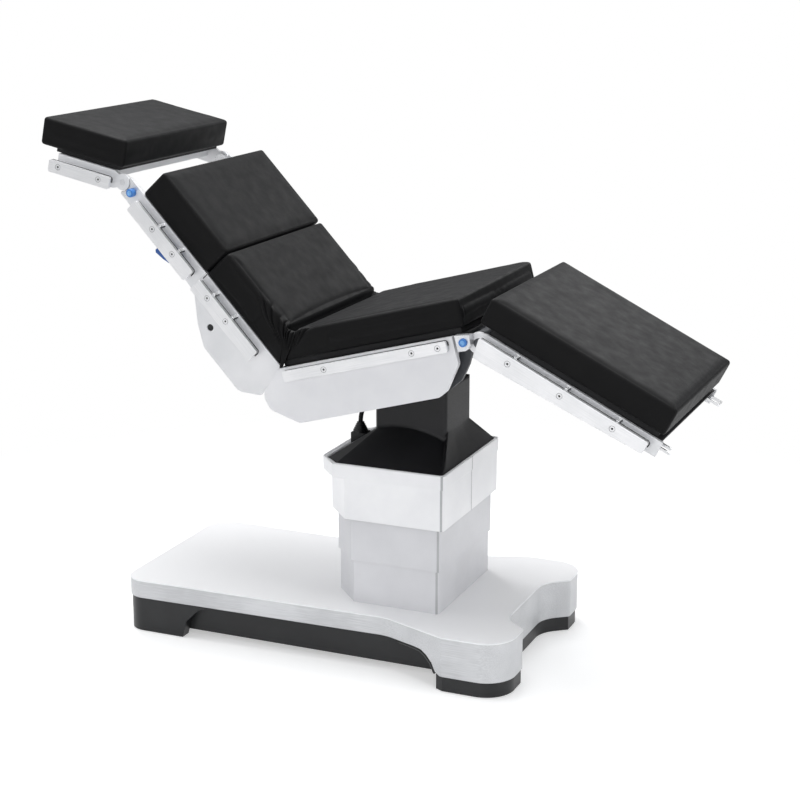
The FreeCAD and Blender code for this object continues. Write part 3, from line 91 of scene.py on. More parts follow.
# %% [markdown]
# ## Cable
#
# A black rubber cable leaves the ribbed boot beside the hood, rises, bends once and goes into
# the tilt head. It is a free cord, so it is a smooth spline whose control points are the
# points of its route. A spline of order 3 cuts inside the corner, as a stiff cable does.
# A point's radius scales the bevel and also counts in the object's box, so the radius is
# the cable's own and the bevel is one metre deep before that scaling.

# %% Cable
CABLE_ROUTE = [(-0.074, 0.0, 0.582), (-0.074, 0.0, 0.649), (-0.003, 0.0, 0.649)]
CABLE_LENGTH, CABLE_DIAMETER = 0.1217, 0.012

line = bpy.data.curves.new("tilt_head_cable", "CURVE")
line.dimensions = "3D"
route = line.splines.new("NURBS")
route.points.add(len(CABLE_ROUTE) - 1)
for point, place in zip(route.points, CABLE_ROUTE):
    point.co = (*place, 1.0)
    point.radius = CABLE_DIAMETER / 2
route.order_u = 3
route.use_endpoint_u = True
route.resolution_u = 24
line.bevel_depth = 1.0
line.bevel_resolution = 6
line.use_fill_caps = True
cable = bpy.data.objects.new("tilt_head_cable", line)
bpy.context.scene.collection.objects.link(cable)
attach(cable, "column_top")
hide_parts("tabletop_cable")
print("cable of", CABLE_LENGTH, "m")

# %% [markdown]
# ## Axes of the sections
#
# Each section of the table top has its own axes: x runs along the section to the foot end,
# z stands on its cushion, and the section's hinge is the origin. The frame's joints say
# where each hinge is. The turn of each section is the pose in the picture.

# %% Section axes
JOINTS = {joint["name"]: joint for joint in frame["joints"]}


class Section:
    """Axes at a hinge whose x dips by an angle: world x = x cos a + z sin a, world z = z cos a - x sin a."""

    def __init__(self, hinge, dip):
        self.origin = np.array(hinge, float)
        self.dip = math.radians(dip)
        c, s = math.cos(self.dip), math.sin(self.dip)
        self.turn = np.array([[c, 0, s], [0, 1, 0], [-s, 0, c]])

    def place(self, points_mm):
        """Points in the section's axes, in millimetres, to the frame's axes in metres."""
        return np.asarray(points_mm, float) @ self.turn.T * MM + self.origin


BACK_HINGE = JOINTS["back_lift"]["pos_m"]
SEAT = Section(BACK_HINGE, -15)
BACK = Section(BACK_HINGE, 47.25)
HEAD = Section(JOINTS["head_tilt"]["pos_m"], 12)
LEG = Section(JOINTS["leg_tilt"]["pos_m"], 26.5)
FLOOR = Section((0, 0, 0), 0)
print("leg hinge at", [round(v, 4) for v in LEG.origin])

# %% [markdown]
# ## Meshes from arrays
#
# A new piece is a grid of points: a function of two parameters worked out as one array. One
# helper turns such a grid into a mesh, and closes it round either parameter where the shape
# runs into itself.

# %% Mesh helpers


def new_object(name, points, faces, smooth=True):
    """A mesh object at the origin from an array of points and a list or array of faces."""
    mesh = bpy.data.meshes.new(name)
    mesh.from_pydata(np.asarray(points, float).tolist(), [], [list(map(int, face)) for face in faces])
    mesh.update()
    mesh.polygons.foreach_set("use_smooth", np.full(len(mesh.polygons), smooth))
    piece = bpy.data.objects.new(name, mesh)
    bpy.context.scene.collection.objects.link(piece)
    return piece


def grid_faces(rows, columns, round_rows=False, round_columns=False, first=0):
    """Quads between neighbours of a grid: (i, j), (i + 1, j), (i + 1, j + 1), (i, j + 1)."""
    i = np.arange(rows if round_rows else rows - 1)
    j = np.arange(columns if round_columns else columns - 1)
    i, j = np.meshgrid(i, j, indexing="ij")
    up, across = (i + 1) % rows, (j + 1) % columns
    corners = [i * columns + j, up * columns + j, up * columns + across, i * columns + across]
    return first + np.stack([corner.ravel() for corner in corners], axis=1)


def outward(piece):
    """Turns the faces of a closed piece outwards when its signed volume comes out negative."""
    mesh = piece.data
    mesh.calc_loop_triangles()
    corners = np.empty(len(mesh.loop_triangles) * 3, np.int32)
    mesh.loop_triangles.foreach_get("vertices", corners)
    places = np.empty(len(mesh.vertices) * 3)
    mesh.vertices.foreach_get("co", places)
    a, b, c = places.reshape(-1, 3)[corners.reshape(-1, 3)].transpose(1, 0, 2)
    if np.einsum("ij,ij->i", a, np.cross(b, c)).sum() < 0:
        mesh.flip_normals()
    return piece


def edge_line(half, radius, spacing, fine=(None, None), edge_steps=5):
    """Places along one axis of a box: dense at both rounded edges, then at a given spacing.

    fine gives a width at the low and at the high end where the spacing is a quarter."""
    ease = half - radius
    edge = ease + radius * np.tan(np.linspace(0, math.pi / 4, edge_steps + 1))[1:]
    marks = [-ease] + ([fine[0] - half] if fine[0] else []) + ([half - fine[1]] if fine[1] else []) + [ease]
    places = [-edge[::-1]]
    for number, (start, end) in enumerate(zip(marks[:-1], marks[1:])):
        is_fine = (fine[0] and number == 0) or (fine[1] and number == len(marks) - 2)
        count = max(1, round((end - start) / (spacing / 4 if is_fine else spacing)))
        places.append(np.linspace(start, end, count + 1)[(0 if number == 0 else 1):])
    return np.concatenate(places + [edge])


def rounded_box(low, high, radius, spacings=(20.0,) * 3, fine=((None, None),) * 3):
    """Points and faces of a closed box with rounded edges.

    Each point of the box's skin is moved to its nearest point of the box shrunk by the radius,
    plus the radius along the line between the two. Points that two skins share are merged."""
    low, high = np.array(low, float), np.array(high, float)
    middle, half = (low + high) / 2, (high - low) / 2
    ease = half - radius
    lines = [edge_line(half[axis], radius, spacings[axis], fine[axis]) for axis in range(3)]
    skins, faces, count = [], [], 0
    for axis in range(3):
        second, third = (axis + 1) % 3, (axis + 2) % 3
        u, v = np.meshgrid(lines[second], lines[third], indexing="ij")
        for side in (1, -1):
            skin = np.empty((u.size, 3))
            skin[:, axis], skin[:, second], skin[:, third] = side * half[axis], u.ravel(), v.ravel()
            square = grid_faces(*u.shape, first=count)
            faces.append(square if side > 0 else square[:, ::-1])
            skins.append(skin)
            count += u.size
    skin, faces = np.concatenate(skins), np.concatenate(faces)
    _, kept, merged = np.unique(np.round(skin, 4), axis=0, return_index=True, return_inverse=True)
    skin, faces = skin[kept], merged.ravel()[faces]
    core = np.clip(skin, -ease, ease)
    away = skin - core
    length = np.linalg.norm(away, axis=1, keepdims=True)
    return core + away / np.maximum(length, 1e-9) * radius + middle, faces


print("helpers ready")

# %% [markdown]
# ## One way to build every finish
#
# A finish is a Principled shader whose colour, roughness and bump come from noise on Object
# coordinates. Object coordinates are metres on the table, so a pattern's size is a real
# size. Steady values sit on the shader's own sockets.

# %% Node helpers


def linear(hex_colour):
    """sRGB hex to linear light: c / 12.92 for dark values, else ((c + 0.055) / 1.055) to the power 2.4."""
    channels = [int(hex_colour[place:place + 2], 16) / 255 for place in (1, 3, 5)]
    return tuple(c / 12.92 if c <= 0.04045 else ((c + 0.055) / 1.055) ** 2.4 for c in channels) + (1.0,)


def add(tree, kind, inputs=None, **settings):
    """Adds one node, sets its properties, and fills its inputs with values or links."""
    node = tree.nodes.new(kind)
    for name, value in settings.items():
        setattr(node, name, value)
    for name, value in (inputs or {}).items():
        if isinstance(value, bpy.types.NodeSocket):
            tree.links.new(value, node.inputs[name])
        else:
            node.inputs[name].default_value = value
    return node


def start_finish(name, roughness, metallic=0.0, **sockets):
    """A material with its Principled shader and steady values, its tree and Object coordinates."""
    material = bpy.data.materials.new(name)
    material.use_nodes = True
    tree = material.node_tree
    shader = tree.nodes["Principled BSDF"]
    shader.inputs["Roughness"].default_value = roughness
    shader.inputs["Metallic"].default_value = metallic
    for socket, value in sockets.items():
        shader.inputs[socket.replace("_", " ")].default_value = value
    place = add(tree, "ShaderNodeTexCoord").outputs["Object"]
    return material, tree, shader, place


def pattern(tree, place, size_mm, detail=3.0, section=FLOOR):
    """Noise whose grains measure size_mm along each axis of a section."""
    sizes = size_mm if isinstance(size_mm, tuple) else (size_mm,) * 3
    mapped = add(tree, "ShaderNodeMapping", {
        "Vector": place, "Location": tuple(section.origin), "Rotation": (0, section.dip, 0),
        "Scale": tuple(size * MM for size in sizes)}, vector_type="TEXTURE")
    noise = add(tree, "ShaderNodeTexNoise", {
        "Vector": mapped.outputs["Vector"], "Scale": 1.0, "Detail": detail, "Roughness": 0.55})
    return noise.outputs["Fac"]


def tint(tree, shader, factor, dark, light, low=0.35, high=0.65):
    """Base colour between two shades of one colour, by a pattern."""
    ramp = add(tree, "ShaderNodeMapRange", {"Value": factor, "From Min": low, "From Max": high})
    mix = add(tree, "ShaderNodeMix", {0: ramp.outputs["Result"], 6: linear(dark), 7: linear(light)},
              data_type="RGBA")
    tree.links.new(mix.outputs[2], shader.inputs["Base Color"])
    return mix.outputs[2]


def vary_roughness(tree, shader, factor, low, high):
    """Roughness between two values, by a pattern."""
    ramp = add(tree, "ShaderNodeMapRange", {
        "Value": factor, "From Min": 0.3, "From Max": 0.7, "To Min": low, "To Max": high})
    tree.links.new(ramp.outputs["Result"], shader.inputs["Roughness"])


def relief(tree, shader, height, depth_mm, soft_edge_mm=None):
    """Bump of a real depth, over edges rounded by a small radius."""
    bump = add(tree, "ShaderNodeBump", {"Height": height, "Strength": 1.0, "Distance": depth_mm * MM})
    if soft_edge_mm:
        edge = add(tree, "ShaderNodeBevel", {"Radius": soft_edge_mm * MM}, samples=4)
        tree.links.new(edge.outputs["Normal"], bump.inputs["Normal"])
    tree.links.new(bump.outputs["Normal"], shader.inputs["Normal"])


print("node helpers ready")

# %% [markdown]
# ## Metal finishes
#
# The base cover and the accessory rails are stainless steel with a brushed finish: fine
# parallel scratches along the sheet, which spread highlights across them. Real brush lines
# are 0.1 to 0.3 mm wide. Here they are 1.5 mm, as coarse as they need to be to show. The sheet
# is drawn partly metallic, because its scratches also scatter light as a matt surface does.

# %% Brushed and plated metals


def brushed_steel(name, dark, light, section, roughness=(0.3, 0.45), metallic=0.6):
    """Stainless steel sheet, brushed along a section's x: lines 90 mm long and 1.5 mm wide."""
    material, tree, shader, place = start_finish(name, roughness[0], metallic)
    lines = pattern(tree, place, (90, 1.5, 1.5), section=section)
    clouds = pattern(tree, place, 160, section=section)
    both = add(tree, "ShaderNodeMath", {0: lines, 1: clouds}, operation="ADD")
    half = add(tree, "ShaderNodeMath", {0: both.outputs[0], 1: 0.5}, operation="MULTIPLY").outputs[0]
    tint(tree, shader, half, dark, light, 0.4, 0.6)
    vary_roughness(tree, shader, lines, *roughness)
    relief(tree, shader, lines, 0.02, soft_edge_mm=1.5)
    return material


def plain_metal(name, dark, light, roughness, metallic, grain_mm, depth_mm, edge_mm=0.8):
    """Cast, plated or turned metal: a fine grain in colour, roughness and relief."""
    material, tree, shader, place = start_finish(name, roughness, metallic)
    grain = pattern(tree, place, grain_mm)
    tint(tree, shader, pattern(tree, place, 60), dark, light)
    vary_roughness(tree, shader, grain, roughness * 0.85, roughness * 1.2)
    relief(tree, shader, grain, depth_mm, edge_mm)
    return material


# Painted top light: the near-white colour that the base sheet's upward faces are mixed towards.
PAINTED_TOP_LIGHT_COLOUR = "#f8f8f9"


def base_sheet_with_painted_top_light():
    """Brushed sheet with painted top light: faces that point up are mixed towards a lighter colour by the normal's
    z.
    """
    material = brushed_steel("brushed_stainless_sheet_painted_top_light", "#c2c3c5", "#d8d9db", FLOOR, metallic=0.12)
    tree = material.node_tree
    shader = tree.nodes["Principled BSDF"]
    sides = shader.inputs["Base Color"].links[0].from_socket
    facing = add(tree, "ShaderNodeNewGeometry").outputs["True Normal"]
    top_light_share = add(tree, "ShaderNodeSeparateXYZ", {0: facing}).outputs["Z"]
    mix = add(tree, "ShaderNodeMix", {0: top_light_share, 6: sides, 7: linear(PAINTED_TOP_LIGHT_COLOUR)}, data_type="RGBA")
    tree.links.new(mix.outputs[2], shader.inputs["Base Color"])
    return material


BASE_STEEL_PAINTED_TOP_LIGHT = base_sheet_with_painted_top_light()
RAIL_STEEL = {
    word: brushed_steel(f"brushed_stainless_rail_{word}", "#dddee0", "#ececee", section, (0.28, 0.4))
    for word, section in (("seat", SEAT), ("back", BACK), ("head", HEAD), ("leg", LEG))}
CAST_ALUMINIUM = plain_metal("cast_aluminium", "#a4a6a9", "#b4b6b9", 0.45, 0.8, 2.5, 0.05)
BLOCK_ALUMINIUM = plain_metal("machined_aluminium", "#d2d3d6", "#e2e3e5", 0.3, 0.7, 2.0, 0.02)
ZINC = plain_metal("zinc_plated_steel", "#b0b3b6", "#bec0c3", 0.35, 0.9, 4.0, 0.02)
MAST_STEEL = plain_metal("ground_steel", "#a6a8aa", "#b4b6b8", 0.3, 0.9, 3.0, 0.02)
CHROME = plain_metal("chromed_steel", "#d6d7d9", "#e0e1e3", 0.12, 1.0, 8.0, 0.005)
CAST_IRON = plain_metal("cast_iron", "#464648", "#505052", 0.7, 0.5, 1.8, 0.12)
print("metals ready")

# %% [markdown]
# ## Coated sheet and moulded plastics
#
# The column's covers and the side plates are coated sheet with a satin shine and a very
# fine orange peel. The plastics are moulded against a spark-eroded steel mould, which
# leaves a fine grain: about 1 mm here, coarser than the real 0.2 mm, so that it shows.

# %% Coatings and plastics


def coated(name, dark, light, roughness, peel_mm=6.0, depth_mm=0.02, edge_mm=1.2, metallic=0.0):
    """Powder coat: slow colour clouds and shallow orange peel."""
    material, tree, shader, place = start_finish(name, roughness, metallic)
    tint(tree, shader, pattern(tree, place, 140), dark, light)
    peel = pattern(tree, place, peel_mm, detail=1.0)
    vary_roughness(tree, shader, peel, roughness * 0.9, roughness * 1.15)
    relief(tree, shader, peel, depth_mm, edge_mm)
    return material


def moulded(name, dark, light, roughness, grain_mm=1.2, depth_mm=0.04, specular=0.5, edge_mm=1.0):
    """Moulded plastic: grain of a spark-eroded mould, and faint flow clouds."""
    material, tree, shader, place = start_finish(name, roughness, Specular_IOR_Level=specular)
    tint(tree, shader, pattern(tree, place, 90), dark, light)
    grain = pattern(tree, place, grain_mm, detail=2.0)
    vary_roughness(tree, shader, grain, roughness * 0.85, roughness * 1.15)
    relief(tree, shader, grain, depth_mm, edge_mm)
    return material


GREY_SHEET = coated("grey_coated_sheet", "#d2d2d5", "#d9d9dc", 0.38)
PLATE_SHEET = coated("side_plate_satin_aluminium", "#dcdddf", "#e6e6e8", 0.36, metallic=0.25)
WHITE_COVER = coated("white_moulded_abs", "#eeeef0", "#f6f6f7", 0.32, peel_mm=9.0)
SIDE_COVER = coated("light_grey_moulded_abs", "#dddde0", "#e5e5e7", 0.35, peel_mm=9.0)
DARK_STEEL = coated("dark_painted_steel", "#36383c", "#404247", 0.5)
CHARCOAL = moulded("charcoal_moulded_abs", "#2c2d2f", "#343538", 0.45)
BLACK_PLASTIC = moulded("black_moulded_abs", "#131416", "#1a1b1d", 0.38, specular=0.4)
LAMINATE = moulded("black_compact_laminate", "#18181a", "#202022", 0.6, grain_mm=2.0, specular=0.3)
BATTERY = moulded("battery_case_abs", "#28303c", "#303846", 0.5)
RUBBER = moulded("moulded_rubber", "#1c1c1e", "#262628", 0.75, grain_mm=1.5, depth_mm=0.06, specular=0.3)
TYRE = moulded("caster_polyurethane", "#343437", "#3e3e41", 0.6)
BLUE = moulded("blue_glass_filled_nylon", "#3273bd", "#3c7dc6", 0.35, grain_mm=1.0, depth_mm=0.02)
PALE_BLUE = moulded("pale_blue_moulded_nylon", "#6fa6de", "#7cb0e4", 0.35, grain_mm=1.0, depth_mm=0.02)
DARK_BLUE = moulded("dark_blue_moulded_nylon", "#28508f", "#30599b", 0.35, grain_mm=1.0, depth_mm=0.02)
print("plastics ready")

# %% [markdown]
# ## Cushion cover
#
# The cushions are foam in a welded cover of polyurethane-coated knit: matt black with a fine
# leather-like grain of about 1 mm. Its coating reflects little light head on and much more
# at a grazing angle, which is why the tops look dark grey and the sides nearly black.

# %% Cushion cover
material, tree, shader, place = start_finish(
    "black_polyurethane_coated_fabric", 0.55, Specular_IOR_Level=0.13, Sheen_Weight=0.03,
    Sheen_Roughness=0.5)
shader.inputs["Sheen Tint"].default_value = linear("#c8ccd2")
tint(tree, shader, pattern(tree, place, 70), "#050506", "#080809")
leather = add(tree, "ShaderNodeTexVoronoi", {"Vector": add(tree, "ShaderNodeMapping", {
    "Vector": place, "Scale": (MM * 1.6,) * 3}, vector_type="TEXTURE").outputs["Vector"], "Scale": 1.0})
vary_roughness(tree, shader, pattern(tree, place, 35), 0.5, 0.62)
relief(tree, shader, leather.outputs["Distance"], 0.05)
CUSHION_COVER = material
print("cushion cover ready")

# %% [markdown]
# ## Finishes on the CAD solids
#
# Most solids keep their shape and only get a finish. The record names a slot for each
# solid, and a few solids in one slot differ in the picture, so they get their own.

# %% Assign finishes
SLOT_FINISH = {
    "brushed_stainless_steel": BASE_STEEL_PAINTED_TOP_LIGHT, "black_moulded_plastic": BLACK_PLASTIC,
    "dark_painted_steel": DARK_STEEL, "floor_rubber": RUBBER, "battery_case": BATTERY,
    "cast_aluminium": CAST_ALUMINIUM, "zinc_plated_steel": ZINC, "caster_polyurethane": TYRE,
    "grey_coated_sheet": GREY_SHEET, "white_moulded_plastic": WHITE_COVER,
    "mast_steel": MAST_STEEL, "chromed_ram": CHROME, "charcoal_moulded_plastic": CHARCOAL,
    "cable_rubber": RUBBER, "cast_iron_cross": CAST_IRON, "black_laminate": LAMINATE,
    "black_coated_fabric": CUSHION_COVER, "satin_aluminium": PLATE_SHEET,
    "blue_plastic": BLUE, "dark_blue_plastic": DARK_BLUE,
}
NODE_FINISH = {
    "seat_rails": RAIL_STEEL["seat"], "back_rails": RAIL_STEEL["back"],
    "head_rails": RAIL_STEEL["head"], "leg_rails": RAIL_STEEL["leg"],
    "head_sockets": BLOCK_ALUMINIUM, "leg_hinge_blocks": BLOCK_ALUMINIUM,
    "side_cover_near": SIDE_COVER, "side_cover_far": SIDE_COVER,
}
SLOTS = {part["node"]: part["material_slot"] for part in frame["record"]["subparts"]}


def dress(thing, finish):
    """Puts one finish on an object in place of all it had."""
    thing.data.materials.clear()
    thing.data.materials.append(finish)


for node, solid in NODES.items():
    dress(solid, NODE_FINISH.get(node, SLOT_FINISH[SLOTS[node]]))
dress(cable, RUBBER)
print(len(NODES), "solids dressed")

# %% [markdown]
# ## Cushions
#
# Each cushion starts as a block of foam with rounded edges, a little smaller than the real
# cushion. The block's skin is a grid, dense at its edges, and its cover is blown up by cloth
# pressure, so the faces crown and the edges stay tight. No point may move more than a few
# millimetres, and the underside stays flat on its board.
#
# The two cushions at the fold have slanting ends that meet when the back is raised. The
# slant moves each point of the end along x, in proportion to its height.

# %% Cushion recipe
PAD_HALF_WIDTH = 271
EDGE_RADIUS = 9
SPACING_MM = 9.0
PRESSURE, SWELL_FRAMES, MOST_SWELL_MM = 4.0, 12, 4.5
START_SMALLER_MM = 0.5
FOLD_END_MM, SIDE_STRIP_MM = 130, 34


def vertices_of(piece):
    """All points of a mesh piece as an array."""
    places = np.empty(len(piece.data.vertices) * 3)
    piece.data.vertices.foreach_get("co", places)
    return places.reshape(-1, 3)


def move_vertices(piece, places):
    """Writes an array of points back to a mesh piece."""
    piece.data.vertices.foreach_set("co", np.asarray(places, float).ravel())
    piece.data.update()


def bake(piece, kind, **settings):
    """Adds one modifier, and keeps its result as the piece's own mesh."""
    modifier = piece.modifiers.new("shape", kind)
    for name, value in settings.items():
        setattr(modifier, name, value)
    result = bpy.data.meshes.new_from_object(piece.evaluated_get(bpy.context.evaluated_depsgraph_get()))
    piece.modifiers.clear()
    piece.data = result
    return piece


def swell(piece):
    """Blows a closed cover up by cloth pressure without gravity, and caps each point's way out."""
    start = vertices_of(piece)
    cloth = piece.modifiers.new("cover", "CLOTH")
    cloth.settings.use_pressure = True
    cloth.settings.uniform_pressure_force = PRESSURE
    cloth.settings.effector_weights.gravity = 0
    cloth.settings.quality = 3
    for frame_number in range(1, SWELL_FRAMES + 1):
        bpy.context.scene.frame_set(frame_number)
    swollen = piece.evaluated_get(bpy.context.evaluated_depsgraph_get()).data
    places = np.empty(len(start) * 3)
    swollen.vertices.foreach_get("co", places)
    piece.modifiers.clear()
    bpy.context.scene.frame_set(1)
    normals = np.empty(len(start) * 3)
    piece.data.vertices.foreach_get("normal", normals)
    normals = normals.reshape(-1, 3)
    outwards = np.einsum("ij,ij->i", places.reshape(-1, 3) - start, normals)
    cap = MOST_SWELL_MM * MM
    swelling = cap * np.tanh(np.maximum(outwards, 0) / cap)
    print(piece.name, "swells up to", round(float(outwards.max()) / MM, 1), "mm, capped at", MOST_SWELL_MM)
    move_vertices(piece, start + normals * swelling[:, None])


def in_section(section, places):
    """Points in the frame's axes, in metres, to a section's axes in millimetres."""
    return (places - section.origin) @ section.turn / MM


def cushion(name, node, body, section, low_ends, high_ends, bottom, top, base):
    """A foam cushion whose ends are given at its bottom and at its top, on a black base plate.

    At height z the ends are mixed from the two pairs: (top - z) parts of the lower pair and
    (z - bottom) parts of the upper pair, and x is stretched between them."""
    small = START_SMALLER_MM
    low_slants, high_slants = (low_ends[end] != high_ends[end] for end in (0, 1))
    fold = (FOLD_END_MM if low_slants else None, FOLD_END_MM if high_slants else None)
    strips = (SIDE_STRIP_MM,) * 2 if low_slants or high_slants else (None, None)
    spacings = (SPACING_MM, SPACING_MM, SPACING_MM / 4 if low_slants or high_slants else SPACING_MM)
    points, faces = rounded_box((low_ends[0] + small, small - PAD_HALF_WIDTH, bottom),
                                (low_ends[1] - small, PAD_HALF_WIDTH - small, top - small),
                                EDGE_RADIUS, spacings, (fold, strips, (None, None)))
    height = (points[:, 2] - bottom) / (top - bottom)
    for end, other in ((0, 1), (1, 0)):
        slant = (high_ends[end] - low_ends[end]) * height
        closeness = (points[:, 0] - low_ends[other]) / (low_ends[end] - low_ends[other])
        points[:, 0] += slant * np.clip(closeness, 0, 1) ** 2
    piece = outward(new_object(name, section.place(points), faces))
    swell(piece)
    bake(piece, "SMOOTH", factor=0.4, iterations=2)
    if not low_slants and not high_slants:
        bake(piece, "SUBSURF", levels=1)
    own = in_section(section, vertices_of(piece))
    own[:, 2] = np.maximum(own[:, 2], bottom)
    move_vertices(piece, section.place(own))
    piece.data.polygons.foreach_set("use_smooth", np.full(len(piece.data.polygons), True))
    dress(piece, CUSHION_COVER)
    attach(piece, body)
    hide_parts(node)
    points, faces = rounded_box(*base, 1.5)
    plate = new_object(name + "_base", section.place(points), faces)
    dress(plate, LAMINATE)
    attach(plate, body)
    return piece


CUSHIONS = {
    "head": cushion("head_cushion", "head_pad", "head_section", HEAD, (-256, -4), (-256, -4),
                    34.5, 108, ((-212, -256, 24), (-20, 256, 35.5))),
    "upper_back": cushion("upper_back_cushion", "upper_back_pad", "back_section", BACK,
                          (-588, -327), (-588, -327), 30, 117, ((-586, -256, 26), (-330, 256, 31))),
    "lower_back": cushion("lower_back_cushion", "lower_back_pad", "back_section", BACK,
                          (-324, -23), (-324, -83.9), 30, 117, ((-321, -256, 26), (-40, 256, 31))),
    "seat": cushion("seat_cushion", "seat_pad", "seat_section", SEAT, (33.5, 532), (83.9, 532),
                    45, 117, ((22, -256, 30), (518, 256, 46))),
    "leg": cushion("leg_cushion", "leg_pad", "leg_section", LEG, (-22, 494), (-22, 494),
                   45, 117, ((12, -256, 30), (480, 256, 46))),
}
print({name: len(piece.data.polygons) for name, piece in CUSHIONS.items()})

# %% [markdown]
# ## Gathers at the fold
#
# Where the back meets the seat, the covers are gathered at both sides: about ten pleats run
# up from a point low on the fold, like a fan, and die out just over the top edge. The
# height of a pleat is the size of a sine of the angle round that point, so valleys are
# sharp and ridges are round. The same rule shapes both cushions.
#
# A loose gusset closes the wedge between the cushions. It turns from the back's slant to the seat's over its
# width. Its top runs lower than the cushions' tops, which shows as a dark crease.

# %% Fold
FAN_CENTRE = np.array([-153.4, 808.0])
FAN_FROM, FAN_TO = -34, 44
PLEAT_ANGLE = 6.4
PLEAT_MM = 12
FAR_PLEATS = 0.35


def pleats(places):
    """Height in millimetres of the pleats at points of the frame, in metres.

    The angle is taken from the vertical round the fan's centre, with a slow wobble along the
    radius. The height is the size of sin(pi * angle / pleat angle), less 0.55, and it fades out
    at both ends of the fan and towards its centre."""
    x, z = places[:, 0] / MM - FAN_CENTRE[0], places[:, 2] / MM - FAN_CENTRE[1]
    radius = np.hypot(x, z)
    angle = np.degrees(np.arctan2(x, z))
    wobble = angle + 2.2 * np.sin(radius / 21 + angle / 9) + 1.6 * np.sin(angle / 4.1)
    wave = np.abs(np.sin(np.pi * wobble / PLEAT_ANGLE)) ** 0.8 - 0.55
    edge = np.clip(np.minimum(angle - FAN_FROM, FAN_TO - angle) / 14, 0, 1)
    fade = np.clip((radius - 12) / 50, 0, 1) * np.clip((190 - radius) / 40, 0, 1)
    uneven = 0.75 + 0.35 * np.sin(angle / 5.3 + 0.8)
    return PLEAT_MM * wave * edge * fade * uneven


def gather(piece, reach_mm=11):
    """Raises a cushion's cover along its normals by the pleats, most at its near side."""
    places = vertices_of(piece)
    normals = np.empty(places.size)
    piece.data.vertices.foreach_get("normal", normals)
    inside = PAD_HALF_WIDTH - np.abs(places[:, 1]) / MM
    weight = np.exp(-np.maximum(inside - 2, 0) / reach_mm) * np.where(places[:, 1] > 0, FAR_PLEATS, 1)
    height = pleats(places) * weight * MM
    move_vertices(piece, places + normals.reshape(-1, 3) * height[:, None])


gather(CUSHIONS["lower_back"])
gather(CUSHIONS["seat"])

# The gusset's rows run from low on the near side, over the top and down the far side.
WEDGE_FROM, WEDGE_TO = math.radians(9.5), math.radians(23.0)
SIDE_TOP, MIDDLE_TOP, GUSSET_START = 140, 118, 20
columns = np.linspace(WEDGE_FROM, WEDGE_TO, 28)
rise = np.linspace(GUSSET_START, SIDE_TOP - 10, 46)
corner = np.linspace(0, math.pi / 2, 9)[1:]
across = np.linspace(-1, 1, 90)[1:-1]
side = PAD_HALF_WIDTH + 1
half_y = np.concatenate([np.full(rise.size, side), side - 10 * (1 - np.cos(corner))])
half_r = np.concatenate([rise, SIDE_TOP - 10 + 10 * np.sin(corner)])
dip = (1 - np.abs(across) ** 14) * (SIDE_TOP - MIDDLE_TOP)
row_y = np.concatenate([-half_y, across * (side - 10), half_y[::-1]])
row_r = np.concatenate([half_r, SIDE_TOP - dip, half_r[::-1]])
turn, radius = np.meshgrid(columns, row_r, indexing="ij")
_, y = np.meshgrid(columns, row_y, indexing="ij")
sag = 1 - 0.03 * np.sin(np.pi * (turn - WEDGE_FROM) / (WEDGE_TO - WEDGE_FROM))
wrinkle = 1.3 * np.sin(y / 19 + 30 * turn) * np.sin(y / 47)
gusset_points = np.stack([BACK.origin[0] / MM + (radius * sag + wrinkle) * np.sin(turn), y,
                          BACK.origin[2] / MM + (radius * sag + wrinkle) * np.cos(turn)], axis=-1)
gusset_points = gusset_points.reshape(-1, 3) * MM
on_side = np.clip((np.abs(gusset_points[:, 1]) / MM - side + 10) / 8, 0, 1)
gusset_points[:, 1] += np.sign(gusset_points[:, 1]) * (pleats(gusset_points) - 1) * on_side * MM
gusset = new_object("fold_gusset", gusset_points, grid_faces(columns.size, row_y.size))
dress(gusset, CUSHION_COVER)


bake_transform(gusset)
print("fold gathered")

# %% [markdown]
# ## Hood over the tilt head
#
# The hood is one black moulding: a skirt that flares down and out from a square neck. Its
# shape joins two outlines, the rim and the neck, point by point. On the near and the far
# side the skirt is a slope that meets the neck in an arc, highest at the middle. On the
# foot side it swings out of the neck in one smooth curve: a power of the height, from 1 to 1.5.

# %% Hood
RIM_Z, NECK_TOP = 523, 720
NECK_HALF, NECK_FRONT, NECK_BACK = 85, 6, 205
ARC_PEAK_X, ARC_PEAK_Z, ARC_DROP = 85, 606.5, 0.00205
HEAD_SIDE_Z, FOOT_SIDE_Z = 592, 604


def outline_round(corners, radii, steps=8):
    """A closed outline of points (x, y) with each corner replaced by an arc of its radius.

    The arc starts radius * tan(turn / 2) before the corner, and is drawn from its centre."""
    corners = np.array(corners, float)
    points = []
    for index, corner in enumerate(corners):
        before = corners[index - 1] - corner
        after = corners[(index + 1) % len(corners)] - corner
        before, after = before / np.linalg.norm(before), after / np.linalg.norm(after)
        if radii[index] <= 0:
            points.append(corner[None])
            continue
        half_angle = math.acos(np.clip(before @ after, -1, 1)) / 2
        middle = before + after
        centre = corner + middle / np.linalg.norm(middle) * radii[index] / math.sin(half_angle)
        first = corner + before * radii[index] / math.tan(half_angle) - centre
        last = corner + after * radii[index] / math.tan(half_angle) - centre
        sweep = math.atan2(first[0] * last[1] - first[1] * last[0], first @ last)
        turns = np.linspace(0, sweep, steps)
        cos, sin = np.cos(turns), np.sin(turns)
        points.append(centre + np.stack([first[0] * cos - first[1] * sin,
                                         first[0] * sin + first[1] * cos], axis=1))
    return np.concatenate(points)


def matched_outline(corners, radii, per_side=24):
    """An outline with the same number of points on every side, so two of them can be joined."""
    arcs = outline_round(corners, radii)
    ends, count = [], 0
    for radius in radii:
        size = 8 if radius > 0 else 1
        ends.append((count, count + size - 1))
        count += size
    points = []
    for index, (_, last) in enumerate(ends):
        start, end = arcs[last], arcs[ends[(index + 1) % len(ends)][0]]
        first, stop = ends[index]
        points.append(arcs[first:stop + 1])
        points.append(start + (end - start) * np.linspace(0, 1, per_side + 2)[1:-1, None])
    return np.concatenate(points)


